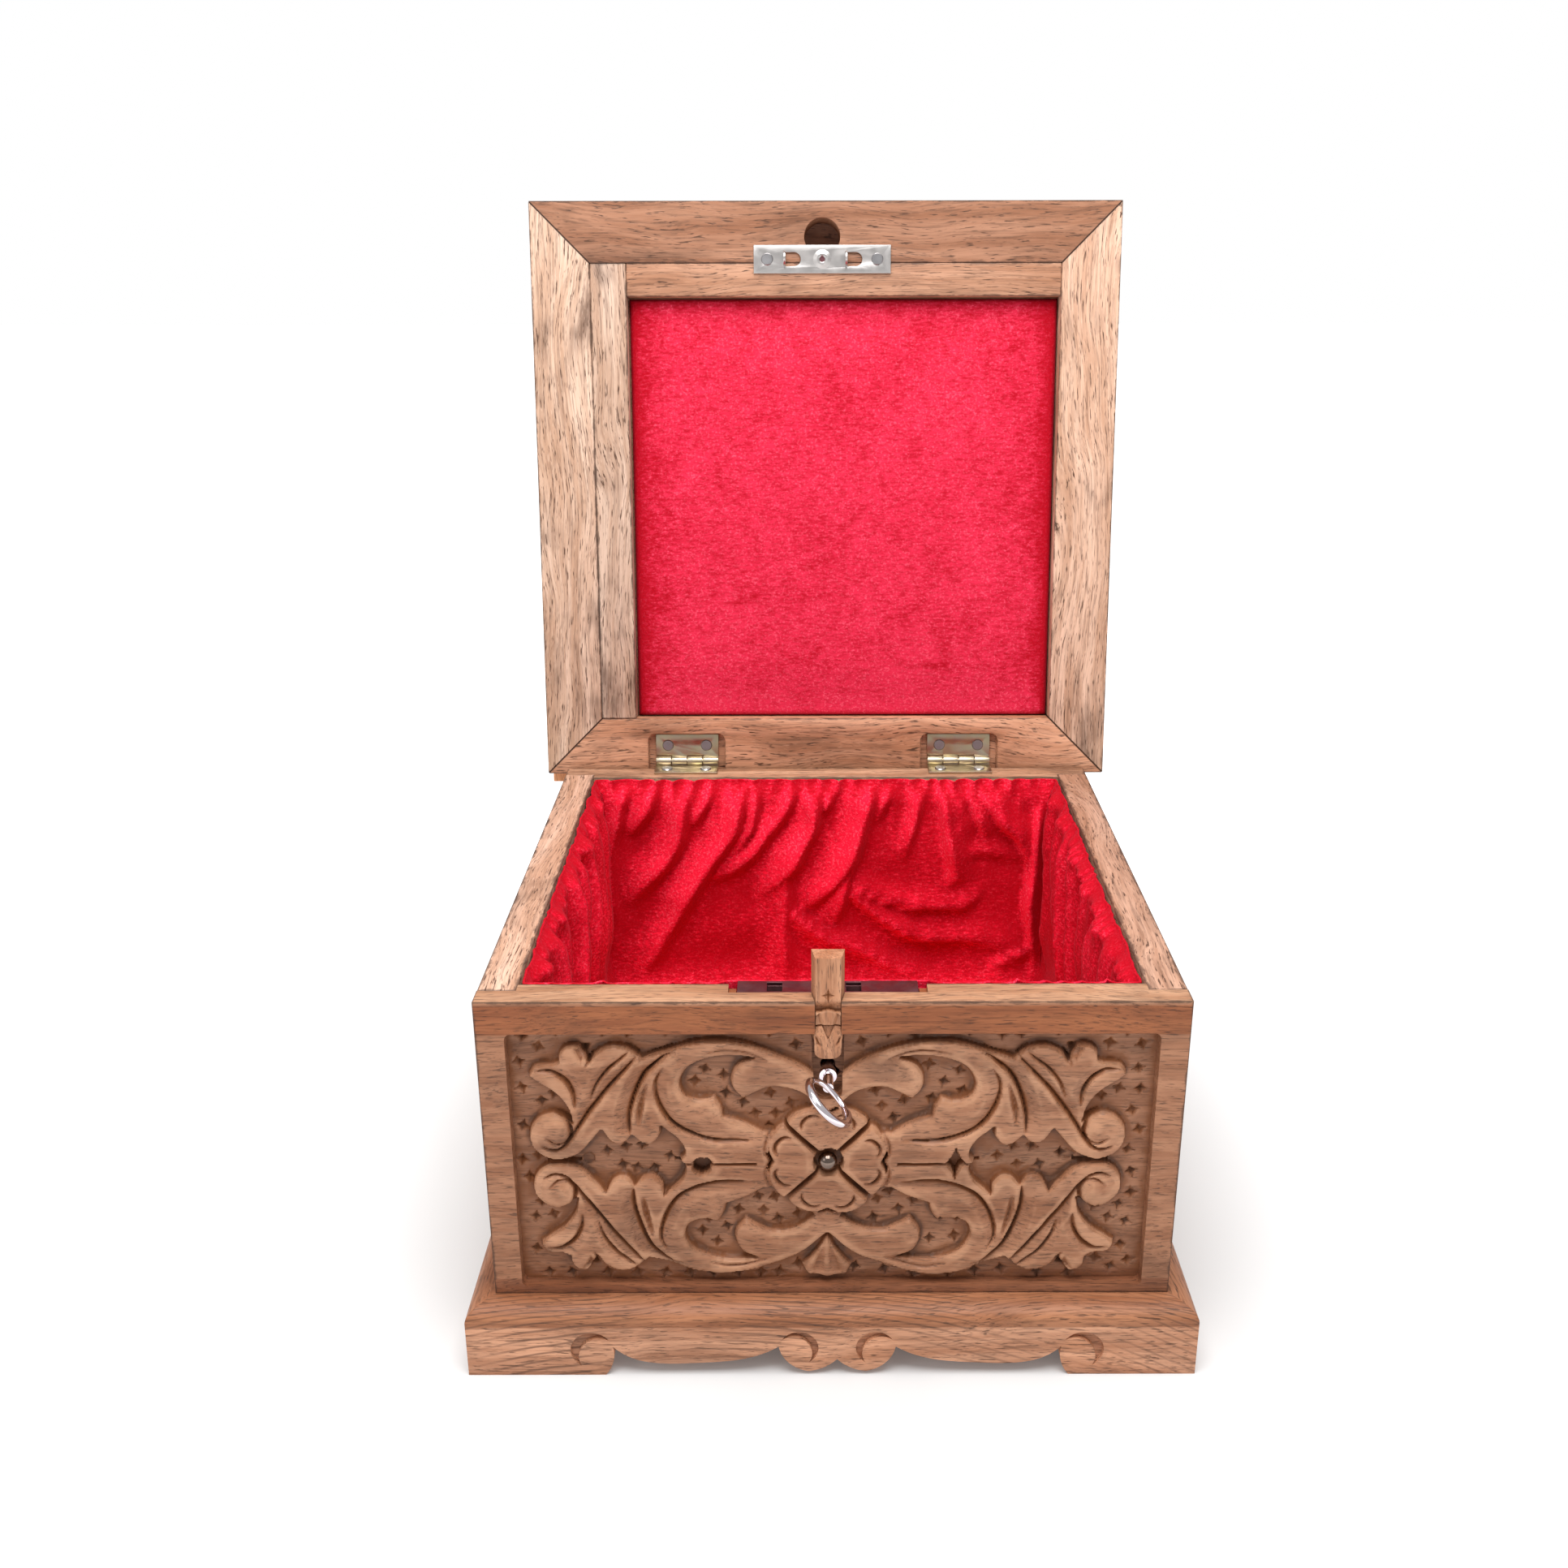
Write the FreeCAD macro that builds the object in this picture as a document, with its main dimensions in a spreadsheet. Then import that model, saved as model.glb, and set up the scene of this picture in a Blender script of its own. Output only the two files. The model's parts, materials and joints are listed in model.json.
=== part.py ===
"""Carved walnut puzzle box: hinged lid, sliding keyhole cover, link-plate lock and velvet lining.

Millimetres. X runs to the right, Y to the back and Z up, and the origin is the centre of the plinth's
footprint on the ground. The box stands open: lid leaning back, keyhole cover raised, key in the lock.
Pieces of the lid are drawn about the hinge pin with the lid shut, and then turned open about that pin.
"""
import FreeCAD
import Part
import math
import os
import re
from types import SimpleNamespace
from FreeCAD import Placement, Rotation, Vector

SIZES = {
    # Box of four boards
    "box_width": 204.0,
    "box_depth": 199.6,
    "wall_height": 98.8,
    "wall": 11.3,
    "lap": 7.3,
    "floor_thick": 6.0,
    "floor_play": 0.2,
    # Plinth of four mitred rails
    "plinth_height": 23.6,
    "plinth_face": 18.7,
    "plinth_reach": 8.3,
    "plinth_ledge": 4.4,
    # Sawn lower edge of the plinth: feet, aprons and paired scrolls
    "scroll_shift": 1.6,
    "scroll_notch": 5.6,
    "scroll_low": 1.2,
    "scroll_out": 17.3,
    "apron_peak": 10.2,
    "apron_low": 4.3,
    "foot_gap": 68.0,
    "foot_flare": 2.2,
    "saw_spare": 1.0,
    "crescent_depth": 2.0,
    # Sunk field of the front board and its carving
    "field_side": 8.3,
    "field_top": 10.2,
    "field_bottom": 2.4,
    "field_depth": 4.5,
    "field_corner": 2.0,
    "carving_drop": 1.1,
    "volute_drop": 0.7,
    "volute_radius": 6.0,
    "volute_out": 80.0,
    "volute_up": 9.0,
    "petal_drop": 0.5,
    "petal_gap": 0.8,
    "petal_reach": 17.0,
    "rosette_height": 69.2,
    "bead_radius": 2.8,
    "bead_hole": 4.2,
    "bead_stem": 1.3,
    "bead_stem_length": 3.0,
    "bead_play": 0.05,
    # Keyhole cover and its dovetailed slot
    "mech_shift": -1.3,
    "cover_front": 7.3,
    "cover_back": 9.5,
    "cover_thick": 6.2,
    "cover_inset": 0.3,
    "cover_travel": 13.4,
    "cover_play": 0.2,
    "head_high": 3.9,
    "head_width": 9.0,
    "head_depth": 2.1,
    "head_waist": 0.9,
    "neck_rise": 2.3,
    "neck_groove": 0.9,
    "slot_play": 0.4,
    # Box lock behind the front board
    "lock_web": 2.1,
    "scoop_width": 57.2,
    "scoop_lip": 6.0,
    "scoop_depth": 1.5,
    "selvedge_length": 52.4,
    "selvedge_width": 7.6,
    "selvedge_thick": 1.2,
    "case_wall": 1.0,
    "case_play": 2.8,
    "lock_play": 0.2,
    "tongue_left": -14.4,
    "tongue_right": 8.5,
    "tongue_width": 5.0,
    "tongue_length": 6.4,
    "tongue_slot": 3.2,
    "tongue_play": 0.4,
    "eye_edge": 0.5,
    "eye_play": 0.13,
    "bolt_thick": 3.0,
    "bolt_bar": 5.0,
    "bolt_throw": 3.6,
    "bolt_prong": 1.8,
    "bolt_post": 2.0,
    "bolt_spare": 1.0,
    "bolt_tail": 3.0,
    "bolt_talon": 10.0,
    # Key
    "key_drop": 21.2,
    "key_roll": 45.0,
    "key_radius": 1.8,
    "key_neck": 1.5,
    "key_bore": 1.1,
    "key_bore_depth": 8.0,
    "key_collar": 2.5,
    "key_collar_length": 2.2,
    "key_bit_reach": 4.4,
    "key_bit_thick": 1.2,
    "key_bit_length": 4.0,
    "key_bit_end": 0.5,
    "key_tip_play": 0.3,
    "key_hole_play": 0.4,
    "bow_reach": 14.2,
    "bow_radius": 7.6,
    "bow_wire": 0.85,
    "drill_pin_length": 6.0,
    "drill_pin_play": 0.1,
    # Lid of four mitred rails round a panel
    "lid_stop": 0.3,
    "lid_gap": 0.4,
    "lid_side_reach": 8.0,
    "lid_front_reach": 8.2,
    "lid_back_reach": 7.6,
    "lid_thick": 22.0,
    "lid_rail": 22.0,
    "lid_edge": 4.0,
    "panel_thick": 14.0,
    "strip_front_width": 12.0,
    "strip_left_width": 13.5,
    "pad_thick": 2.6,
    "pad_crown": 1.6,
    "pad_end_crown": 0.4,
    "pad_play": 0.3,
    "hole_radius": 6.7,
    "hole_inset": 4.5,
    "hole_spare": 1.4,
    # Strike plate on the lid
    "strike_length": 51.0,
    "strike_width": 10.1,
    "strike_thick": 0.8,
    "strike_nail_in": 5.0,
    # Butt hinges
    "pin_back": 2.8,
    "pin_rise": 2.2,
    "pin_radius": 0.8,
    "pin_play": 0.08,
    "hinge_width": 24.8,
    "hinge_left": -54.9,
    "hinge_right": 52.8,
    "knuckle_radius": 1.7,
    "knuckle_gap": 0.3,
    "leaf_length": 10.4,
    "leaf_thick": 1.0,
    "pocket_side": 2.8,
    "pocket_end": 0.5,
    "pocket_corner": 3.0,
    "nail_spread": 7.6,
    "nail_out": 6.0,
    "nail_head": 2.3,
    "nail_head_high": 0.4,
    "nail_shank": 1.0,
    "nail_play": 0.1,
    # Hidden sliding strip in the left edge of the lid
    "slide_inset": 1.0,
    "slide_width": 6.5,
    "slide_high": 8.0,
    "slide_level": 5.0,
    "slide_length": 90.0,
    "slide_proud": 4.2,
    "slide_play": 0.2,
    # Velvet lining
    "lining_thick": 2.4,
    "lining_play": 0.3,
    "lining_drop": 0.6,
    "fold_depth": 4.4,
    "fold_lean": 9.0,
    "fold_pitch": 18.0,
    "floor_pad": 2.0,
    "floor_fold": 2.6,
    # Room left past a face by a cutting shape
    "past": 1.0,
}

doc = FreeCAD.newDocument("puzzle_box")
sheet = doc.addObject("Spreadsheet::Sheet", "sizes")
for row, (size_name, number) in enumerate(SIZES.items(), start=1):
    sheet.set(f"A{row}", size_name)
    sheet.set(f"B{row}", str(number))
    sheet.setAlias(f"B{row}", size_name)
doc.recompute()
s = SimpleNamespace(**{size_name: float(sheet.get(size_name)) for size_name in SIZES})

# Formulas that several pieces share
HALF_WIDTH = "box_width / 2"
FRONT = "(-box_depth / 2)"
BACK = "(box_depth / 2)"
FIELD = f"({FRONT} + field_depth)"
INSIDE = f"({FRONT} + wall + past)"
RIM = "(plinth_height + wall_height)"
OVER_RIM = f"({RIM} + past)"
COVER_TOP = f"({RIM} + cover_travel)"
COVER_LOW = f"({RIM} - field_top - cover_play - head_high)"
SLOT_LOW = f"({COVER_LOW} + head_waist - cover_travel - slot_play)"
LOCK_IN = "(cover_inset + cover_thick + cover_play + lock_web)"
STRIKE_IN = f"({LOCK_IN} + selvedge_width / 2)"
LOCK_FRONT = f"({FRONT} + {LOCK_IN})"
LOCK_BACK = f"({LOCK_FRONT} + selvedge_width)"
SELVEDGE_TOP = f"({RIM} - scoop_depth)"
SELVEDGE_LOW = f"({SELVEDGE_TOP} - selvedge_thick)"
KEY_Z = f"({SELVEDGE_LOW} - key_drop)"
CASE_LOW = f"({KEY_Z} - key_bit_reach - case_play - case_wall)"
CASE_HALF = "(tongue_play + bolt_throw + bolt_spare + bolt_post + lock_play + case_wall - tongue_left)"
EYE = "(bolt_prong * sqrt(0.5) + eye_play)"
SHUT_FRONT = "(-box_depth - pin_back)"
SHUT_STRIKE = f"({SHUT_FRONT} + {STRIKE_IN})"
FACE = "(lid_gap - pin_rise)"
STRIKE_LOW = f"({FACE} - strike_thick)"
SEAT = f"({FACE} + lid_thick - panel_thick)"
LID_HALF = "(box_width / 2 + lid_side_reach)"
LID_BACK = "(lid_back_reach - pin_back)"

front = -s.box_depth / 2
rim = s.plinth_height + s.wall_height
cover_low = rim - s.field_top - s.cover_play - s.head_high
lock_in = s.cover_inset + s.cover_thick + s.cover_play + s.lock_web
key_z = rim - s.scoop_depth - s.selvedge_thick - s.key_drop
pin_y = s.box_depth / 2 + s.pin_back
pin_z = rim + s.pin_rise
shut_front = -s.box_depth - s.pin_back
face = s.lid_gap - s.pin_rise
lid_half = s.box_width / 2 + s.lid_side_reach
lid_back = s.lid_back_reach - s.pin_back
lid_front = shut_front - s.lid_front_reach
# The lid opens until the inner edge of its back rail all but meets the back board
lid_open = math.degrees(math.atan2(face, lid_back)
                        + math.acos((s.lid_stop - s.pin_back) / math.hypot(face, lid_back)))
rounding = 1 - math.sqrt(0.5)
parts = []


def bind(item, prop, formula):
    """Tie one property of an object to a formula of named sizes."""
    def linked(found):
        word = found.group()
        return "sizes." + word if word in SIZES else word

    item.setExpression(prop, re.sub(r"[a-z_]+", linked, str(formula)))


def place(item, spot):
    """Tie an object's place to three formulas."""
    for letter, formula in zip("xyz", spot):
        bind(item, f"Placement.Base.{letter}", formula)


def block(name, x, y, z):
    """A rectangular piece between pairs of low and high formulas."""
    item = doc.addObject("Part::Box", name)
    for side, (low, high) in zip(("Length", "Width", "Height"), (x, y, z)):
        bind(item, side, f"({high}) - ({low})")
    place(item, (x[0], y[0], z[0]))
    return item


def about(middle, half):
    """Low and high formulas at equal distances from a middle."""
    return (f"{middle} - ({half})", f"{middle} + ({half})")


TURNS = {"x": Rotation(Vector(0, 1, 0), 90), "y": Rotation(Vector(1, 0, 0), -90), "z": Rotation()}


def rod(name, axis, radius, start, length):
    """A round bar along one axis from a start point, all given as formulas."""
    item = doc.addObject("Part::Cylinder", name)
    item.Placement = Placement(Vector(), TURNS[axis])
    bind(item, "Radius", radius)
    bind(item, "Height", length)
    place(item, start)
    return item


def run(points):
    """One stretch of an outline: a line, an arc through three points, or a curve through more."""
    spots = [Vector(a, b, 0) for a, b in points]
    if len(spots) == 2:
        return Part.LineSegment(*spots)
    if len(spots) == 3:
        return Part.Arc(*spots)
    curve = Part.BSplineCurve()
    curve.interpolate(spots)
    return curve


def polygon(points):
    """Straight runs round a closed list of points."""
    return [run([a, b]) for a, b in zip(points, points[1:] + points[:1])]


def flat(x0, x1, y0, y1):
    """A rectangle seen from above."""
    return polygon([(x0, y0), (x1, y0), (x1, y1), (x0, y1)])


def chain(*stretches):
    """Runs of a closed outline, each starting where the one before it ends."""
    whole = [list(stretches[0])]
    for stretch in stretches[1:]:
        whole.append([whole[-1][-1]] + list(stretch))
    if whole[-1][-1] != whole[0][0]:
        whole.append([whole[-1][-1], whole[0][0]])
    return [run(points) for points in whole]


def sketch_on(body, name, plane, edges, level):
    """A sketch of the given edges on one of a body's origin planes, moved along that plane's axis."""
    sketch = body.newObject("Sketcher::SketchObject", name)
    support = next(item for item in body.Origin.OriginFeatures if item.Role == plane + "_Plane")
    sketch.AttachmentSupport = [(support, "")]
    sketch.MapMode = "FlatFace"
    sketch.addGeometry(edges, False)
    bind(sketch, "AttachmentOffset.Base.z", f"-({level})" if plane == "XZ" else level)
    return sketch


def prism(name, plane, edges, low, high):
    """A body padded from a sketch, between two levels along the sketch plane's axis."""
    body = doc.addObject("PartDesign::Body", name)
    pad = body.newObject("PartDesign::Pad", name + "_pad")
    pad.Profile = sketch_on(body, name + "_sketch", plane, edges, low)
    bind(pad, "Length", f"({high}) - ({low})")
    pad.Reversed = plane == "XZ"
    return body


def pocket(body, name, plane, edges, depth=None):
    """A pocket from an origin plane of a body: through the whole of it, or to a depth."""
    item = body.newObject("PartDesign::Pocket", name)
    item.Profile = sketch_on(body, name + "_sketch", plane, edges, "0")
    if depth:
        bind(item, "Length", depth)
    else:
        item.Type = "ThroughAll"
        item.Midplane = True


def fuse(name, *items):
    """Several solids made one."""
    whole = doc.addObject("Part::MultiFuse", name)
    whole.Shapes = list(items)
    return whole


def cut(name, base, *tools):
    """A solid with others taken away from it."""
    item = doc.addObject("Part::Cut", name)
    item.Base = base
    item.Tool = tools[0] if len(tools) == 1 else fuse(name + "_tools", *tools)
    return item


def mirrored(name, item, centre, normal):
    """A copy of a piece across a plane."""
    copy = doc.addObject("Part::Mirroring", name)
    copy.Source = item
    copy.Base = centre
    copy.Normal = normal
    return copy


def keep(item, label):
    """Name a finished piece."""
    item.Label = label
    parts.append(item)


def hang(item, label):
    """Turn a finished piece of the lid open about the hinge pin, and name it."""
    opened = Placement(Vector(0, pin_y, pin_z), Rotation(Vector(1, 0, 0), -lid_open))
    item.Placement = opened.multiply(item.Placement)
    keep(item, label)


def frame_side(side, width, depth, middle):
    """Placement of a rail drawn along X with its outer face at Y = 0, for one side of a frame."""
    turn, spot = {
        "front": (0, Vector(0, middle - depth / 2, 0)),
        "right": (90, Vector(width / 2, middle, 0)),
        "back": (180, Vector(0, middle + depth / 2, 0)),
        "left": (-90, Vector(-width / 2, middle, 0)),
    }[side]
    return Placement(spot, Rotation(Vector(0, 0, 1), turn))


def mitred_rail(name, profile, length, formula, depth):
    """A rail padded along X from its section, both ends cut at 45 degrees, the outer face the long one."""
    body = prism(name + "_body", "YZ", profile, f"-({formula}) / 2", f"({formula}) / 2")
    for sign, end in ((-1, "left"), (1, "right")):
        tip = sign * length / 2
        corner = [(tip, 0), (tip, depth), (tip - sign * depth, depth)]
        pocket(body, f"{name}_mitre_{end}", "XY", polygon(corner))
    return body


def plinth_rail(side):
    """One plinth rail: quarter-ellipse moulding, mitred ends, sawn scrolls along the foot."""
    across = side in ("front", "back")
    formula = "box_width + 2 * plinth_reach" if across else "box_depth + 2 * plinth_reach"
    width = s.box_width + 2 * s.plinth_reach
    depth = s.box_depth + 2 * s.plinth_reach
    inner = s.plinth_reach + s.wall + s.plinth_ledge
    rise = s.plinth_height - s.plinth_face
    turns = [math.radians(turn) for turn in (67.5, 45, 22.5, 0)]
    crown = [(s.plinth_reach * (1 - math.cos(turn)), s.plinth_face + rise * math.sin(turn)) for turn in turns]
    profile = chain(
        [(0, 0), (inner, 0)],
        [(inner, s.plinth_height)],
        [(s.plinth_reach, s.plinth_height)],
        crown,
    )
    name = "base_" + side
    body = mitred_rail(name, profile, width if across else depth, formula, inner)
    saw_foot(body, name)
    body.Placement = frame_side(side, width, depth, 0)
    keep(body, name)


def saw_foot(body, name):
    """Saw away the gaps between the feet, the aprons and the paired scrolls, and gouge the scrolls."""
    low = -s.saw_spare
    disc = s.scroll_out - 5.3
    curl = s.foot_gap + 5.2
    for sign, end in ((-1, "left"), (1, "right")):
        def at(*spots, sign=sign):
            return [(s.scroll_shift + sign * x, z) for x, z in spots]

        gap = chain(
            at((0, low), (0, s.scroll_notch)),
            at((3.6, s.scroll_low + 1.6), (8.6, s.scroll_low)),
            at((s.scroll_out - 1, 6.4), (s.scroll_out + 0.4, s.apron_peak)),
            at((s.scroll_out + 6.5, s.apron_low + 2.8), ((s.scroll_out + s.foot_gap) / 2, s.apron_low),
               (s.foot_gap - 4.5, s.apron_low + 2.6), (s.foot_gap - 0.4, s.apron_peak)),
            at((s.foot_gap + 0.2, s.apron_peak / 3), (s.foot_gap + s.foot_flare, 0)),
            at((s.foot_gap + s.foot_flare, low)),
        )
        pocket(body, f"{name}_saw_{end}", "XZ", gap)
        inner_gouge = chain(
            at((disc - 3.6, 4.6), (disc - 6.2, 11.0), (disc + 4.6, 12.8)),
            at((disc - 3.0, 11.6), (disc - 3.6, 4.6)),
        )
        pocket(body, f"{name}_hook_{end}", "XZ", inner_gouge, "crescent_depth")
        outer_gouge = chain(
            at((curl + 4.2, 3.4), (curl + 7.0, 11.0), (curl - 4.4, 12.6)),
            at((curl + 3.4, 10.8), (curl + 4.2, 3.4)),
        )
        pocket(body, f"{name}_curl_{end}", "XZ", outer_gouge, "crescent_depth")


def carving():
    """Scrollwork of the front board: one quarter drawn from the rosette's centre, mirrored twice."""
    centre = Vector(s.mech_shift, 0, s.rosette_height)

    def at(*spots):
        return [(centre.x + u, centre.z + w) for u, w in spots]

    def raised(name, edges, drop):
        return prism(name, "XZ", edges, f"{FRONT} + {drop}", FIELD)

    leaf = chain(
        at((0, 0), (43.5, 0)),
        at((42, 2.5), (43.5, 6.5), (48.5, 11.3)),
        at((49, 8), (51.5, 5.5), (54.5, 5.8), (57.2, 8.3)),
        at((59, 6.2), (61.5, 5.6), (64, 7), (66, 10.5)),
        at((69, 7), (73, 2.8), (79, 0.5)),
        at((84, 2), (87, 6), (87, 11), (84, 14.8), (80, 16.2), (76.5, 15)),
        at((74.5, 13.2)),
        at((75.5, 18), (79, 23), (83.5, 26.3), (86.5, 28.8)),
        at((84.5, 31.8), (80, 32.6), (77.8, 33.5)),
        at((77.3, 36.2), (75, 38.3), (71.5, 38), (69, 33.5)),
        at((67, 36.3), (62.5, 38.4), (57.5, 37.4), (53.5, 34)),
        at((46, 36.6), (39, 39), (32, 39.8), (25, 39), (17, 36.4), (8, 32.2), (0, 25.5)),
    )
    well = chain(
        at((21, 34), (27, 34.9), (33, 34.4), (39.5, 31.5), (42.6, 26.5), (41.5, 22), (37.5, 20.2),
           (32.8, 20.8)),
        at((31, 18), (30.2, 14.8)),
        at((24.5, 12.6), (19, 9.5)),
        at((10, 10)),
        at((4, 19.5)),
        at((8, 22.7), (12.5, 24.2), (17, 24.2), (21, 22.4), (24.5, 20.5)),
        at((27.3, 24), (27.6, 28), (25.5, 31.8), (21, 34)),
    )
    fan = chain(
        at((0, 26.5), (2, 31), (5.6, 37.6)),
        at((4, 40.4), (0, 41)),
    )
    petal = chain(
        at((0, 0), (12, 11.5)),
        at((15.8, 9.8), (17.6, 5.5), (16.4, 0)),
        at((17.6, -5.5), (15.8, -9.8), (12, -11.5)),
    )
    scroll = cut("scroll", raised("scroll_leaf", leaf, "carving_drop"),
                 raised("scroll_well", well, "carving_drop"))
    volute = rod("volute", "y", "volute_radius",
                 ("mech_shift + volute_out", f"{FRONT} + volute_drop", "rosette_height + volute_up"),
                 "field_depth - volute_drop")
    quarter = fuse("carved_quarter", scroll, volute, raised("fan_half", fan, "carving_drop"))
    half = fuse("carved_half", quarter, mirrored("carved_left", quarter, centre, Vector(1, 0, 0)))
    petals = []
    for turn in range(4):
        item = raised(f"petal_{turn}", petal, "petal_drop")
        item.Placement = Placement(Vector(), Rotation(Vector(0, 1, 0), 90 * turn), centre)
        petals.append(item)
    low_half = mirrored("carved_low", half, centre, Vector(0, 0, 1))
    reach = s.petal_reach
    gap = s.petal_gap / 2
    grooves = []
    for turn in (45, 135):
        line = polygon(at((-reach, -gap), (reach, -gap), (reach, gap), (-reach, gap)))
        groove = prism(f"petal_groove_{turn}", "XZ", line, f"{FRONT} - past", f"{FRONT} + carving_drop")
        groove.Placement = Placement(Vector(), Rotation(Vector(0, 1, 0), turn), centre)
        grooves.append(groove)
    return fuse("carved_whole", half, low_half, *petals), grooves


def keyhole(name, low, high):
    """A round keyhole with a slot for the bit, at the angle where the key goes in."""
    barrel = rod(name + "_barrel", "y", "key_radius + key_hole_play", ("mech_shift", low, KEY_Z),
                 f"({high}) - ({low})")
    half = s.key_bit_thick / 2 + s.key_hole_play
    reach = s.key_bit_reach + s.key_hole_play
    along = math.cos(math.radians(s.key_roll))
    down = math.sin(math.radians(s.key_roll))
    corners = []
    for a, b in ((0, -half), (reach, -half), (reach, half), (0, half)):
        corners.append((s.mech_shift + a * along + b * down, key_z - a * down + b * along))
    return fuse(name, barrel, prism(name + "_bit", "XZ", polygon(corners), low, high))


def rabbets(name, y):
    """Rabbets at both ends of a front or back board, where the side boards butt against it."""
    z = ("plinth_height - past", OVER_RIM)
    left = block(name + "_rabbet_left", (f"-{HALF_WIDTH} - past", f"-{HALF_WIDTH} + wall"), y, z)
    right = block(name + "_rabbet_right", (f"{HALF_WIDTH} - wall", f"{HALF_WIDTH} + past"), y, z)
    return [left, right]


def sunk_field():
    """The shallow field of the front board, with rounded corners."""
    low = s.plinth_height + s.field_bottom
    high = rim - s.field_top
    half = s.box_width / 2 - s.field_side
    r = s.field_corner
    q = r * rounding
    edges = chain(
        [(-half + r, low), (half - r, low)],
        [(half - q, low + q), (half, low + r)],
        [(half, high - r)],
        [(half - q, high - q), (half - r, high)],
        [(-half + r, high)],
        [(-half + q, high - q), (-half, high - r)],
        [(-half, low + r)],
        [(-half + q, low + q), (-half + r, low)],
    )
    return prism("front_field", "XZ", edges, f"{FRONT} - past", FIELD)


def cover_slot():
    """Dovetailed slot with a rounded foot, and the wider shallow track of the cover's head."""
    depth = s.cover_inset + s.cover_thick + s.cover_play
    slope = (s.cover_back - s.cover_front) / 2 / s.cover_thick
    narrow = s.cover_front / 2 + s.cover_play - slope * s.cover_inset
    wide = narrow + slope * depth
    x = s.mech_shift
    section = polygon([(x - narrow, front - s.past), (x + narrow, front - s.past), (x + narrow, front),
                       (x + wide, front + depth), (x - wide, front + depth), (x - narrow, front)])
    slot = prism("slot_dovetail", "XY", section, SLOT_LOW, OVER_RIM)
    foot = rod("slot_foot", "y", narrow, ("mech_shift", f"{FRONT} - past", SLOT_LOW),
               "cover_inset + cover_thick + cover_play + past")
    track = block("head_track", about("mech_shift", "head_width / 2 + cover_play"),
                  (f"{FRONT} - past", f"{FRONT} + cover_inset + head_depth + cover_play"),
                  (f"{COVER_LOW} - cover_travel - cover_play", f"{RIM} - field_top"))
    return [slot, foot, track]


def lock_mortise():
    """Scooped rim, ledge of the selvedge and mortise of the lock case, open to the inside of the box."""
    scoop = block("lock_scoop", about("mech_shift", "scoop_width / 2"), (f"{FRONT} + scoop_lip", INSIDE),
                  (SELVEDGE_TOP, OVER_RIM))
    y = (f"{LOCK_FRONT} - lock_play", INSIDE)
    ledge = block("selvedge_ledge", about("mech_shift", "selvedge_length / 2 + lock_play"), y,
                  (SELVEDGE_LOW, OVER_RIM))
    hollow = block("case_mortise", about("mech_shift", f"{CASE_HALF} + lock_play"), y,
                   (f"{CASE_LOW} - lock_play", OVER_RIM))
    return [scoop, ledge, hollow]


def front_board():
    """Front board with its sunk carved field, slot, keyhole and mortise, and the bead of its rosette."""
    board = block("front_board", about("0", HALF_WIDTH), (FRONT, f"{FRONT} + wall"), ("plinth_height", RIM))
    ornament, grooves = carving()
    carved = fuse("front_carved", cut("front_sunk", board, sunk_field()), ornament)
    centre = ("mech_shift", f"{FRONT} - past", "rosette_height")
    bead_hole = rod("bead_hole", "y", "bead_hole", centre, "field_depth + past")
    stem_hole = rod("bead_stem_hole", "y", "bead_stem + bead_play", centre,
                    "field_depth + past + bead_stem_length + bead_play")
    web_hole = keyhole("wall_keyhole", f"{FRONT} + cover_inset + cover_thick", LOCK_FRONT)
    ends = rabbets("front", (f"{FRONT} + lap", INSIDE))
    openings = [*grooves, *ends, *cover_slot(), *lock_mortise(), bead_hole, stem_hole, web_hole]
    keep(cut("front_wall", carved, *openings), "front_wall")
    spot = ("mech_shift", f"{FIELD} - bead_radius", "rosette_height")
    ball = doc.addObject("Part::Sphere", "bead_ball")
    bind(ball, "Radius", "bead_radius")
    place(ball, spot)
    stem = rod("bead_stem", "y", "bead_stem", spot, "bead_radius + bead_stem_length")
    keep(fuse("rosette_bead", ball, stem), "rosette_bead")


def other_boards():
    """Back board, two side boards and the floor board."""
    tall = ("plinth_height", RIM)
    back = block("back_board", about("0", HALF_WIDTH), (f"{BACK} - wall", BACK), tall)
    keep(cut("back_wall", back, *rabbets("back", (f"{BACK} - wall - past", f"{BACK} - lap"))), "back_wall")
    long = (f"{FRONT} + lap", f"{BACK} - lap")
    keep(block("left_wall", (f"-{HALF_WIDTH}", f"-{HALF_WIDTH} + wall"), long, tall), "left_wall")
    keep(block("right_wall", (f"{HALF_WIDTH} - wall", HALF_WIDTH), long, tall), "right_wall")
    keep(block("floor_board", about("0", f"{HALF_WIDTH} - wall - floor_play"),
               about("0", f"{BACK} - wall - floor_play"), ("plinth_height", "plinth_height + floor_thick")),
         "floor_board")


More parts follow.
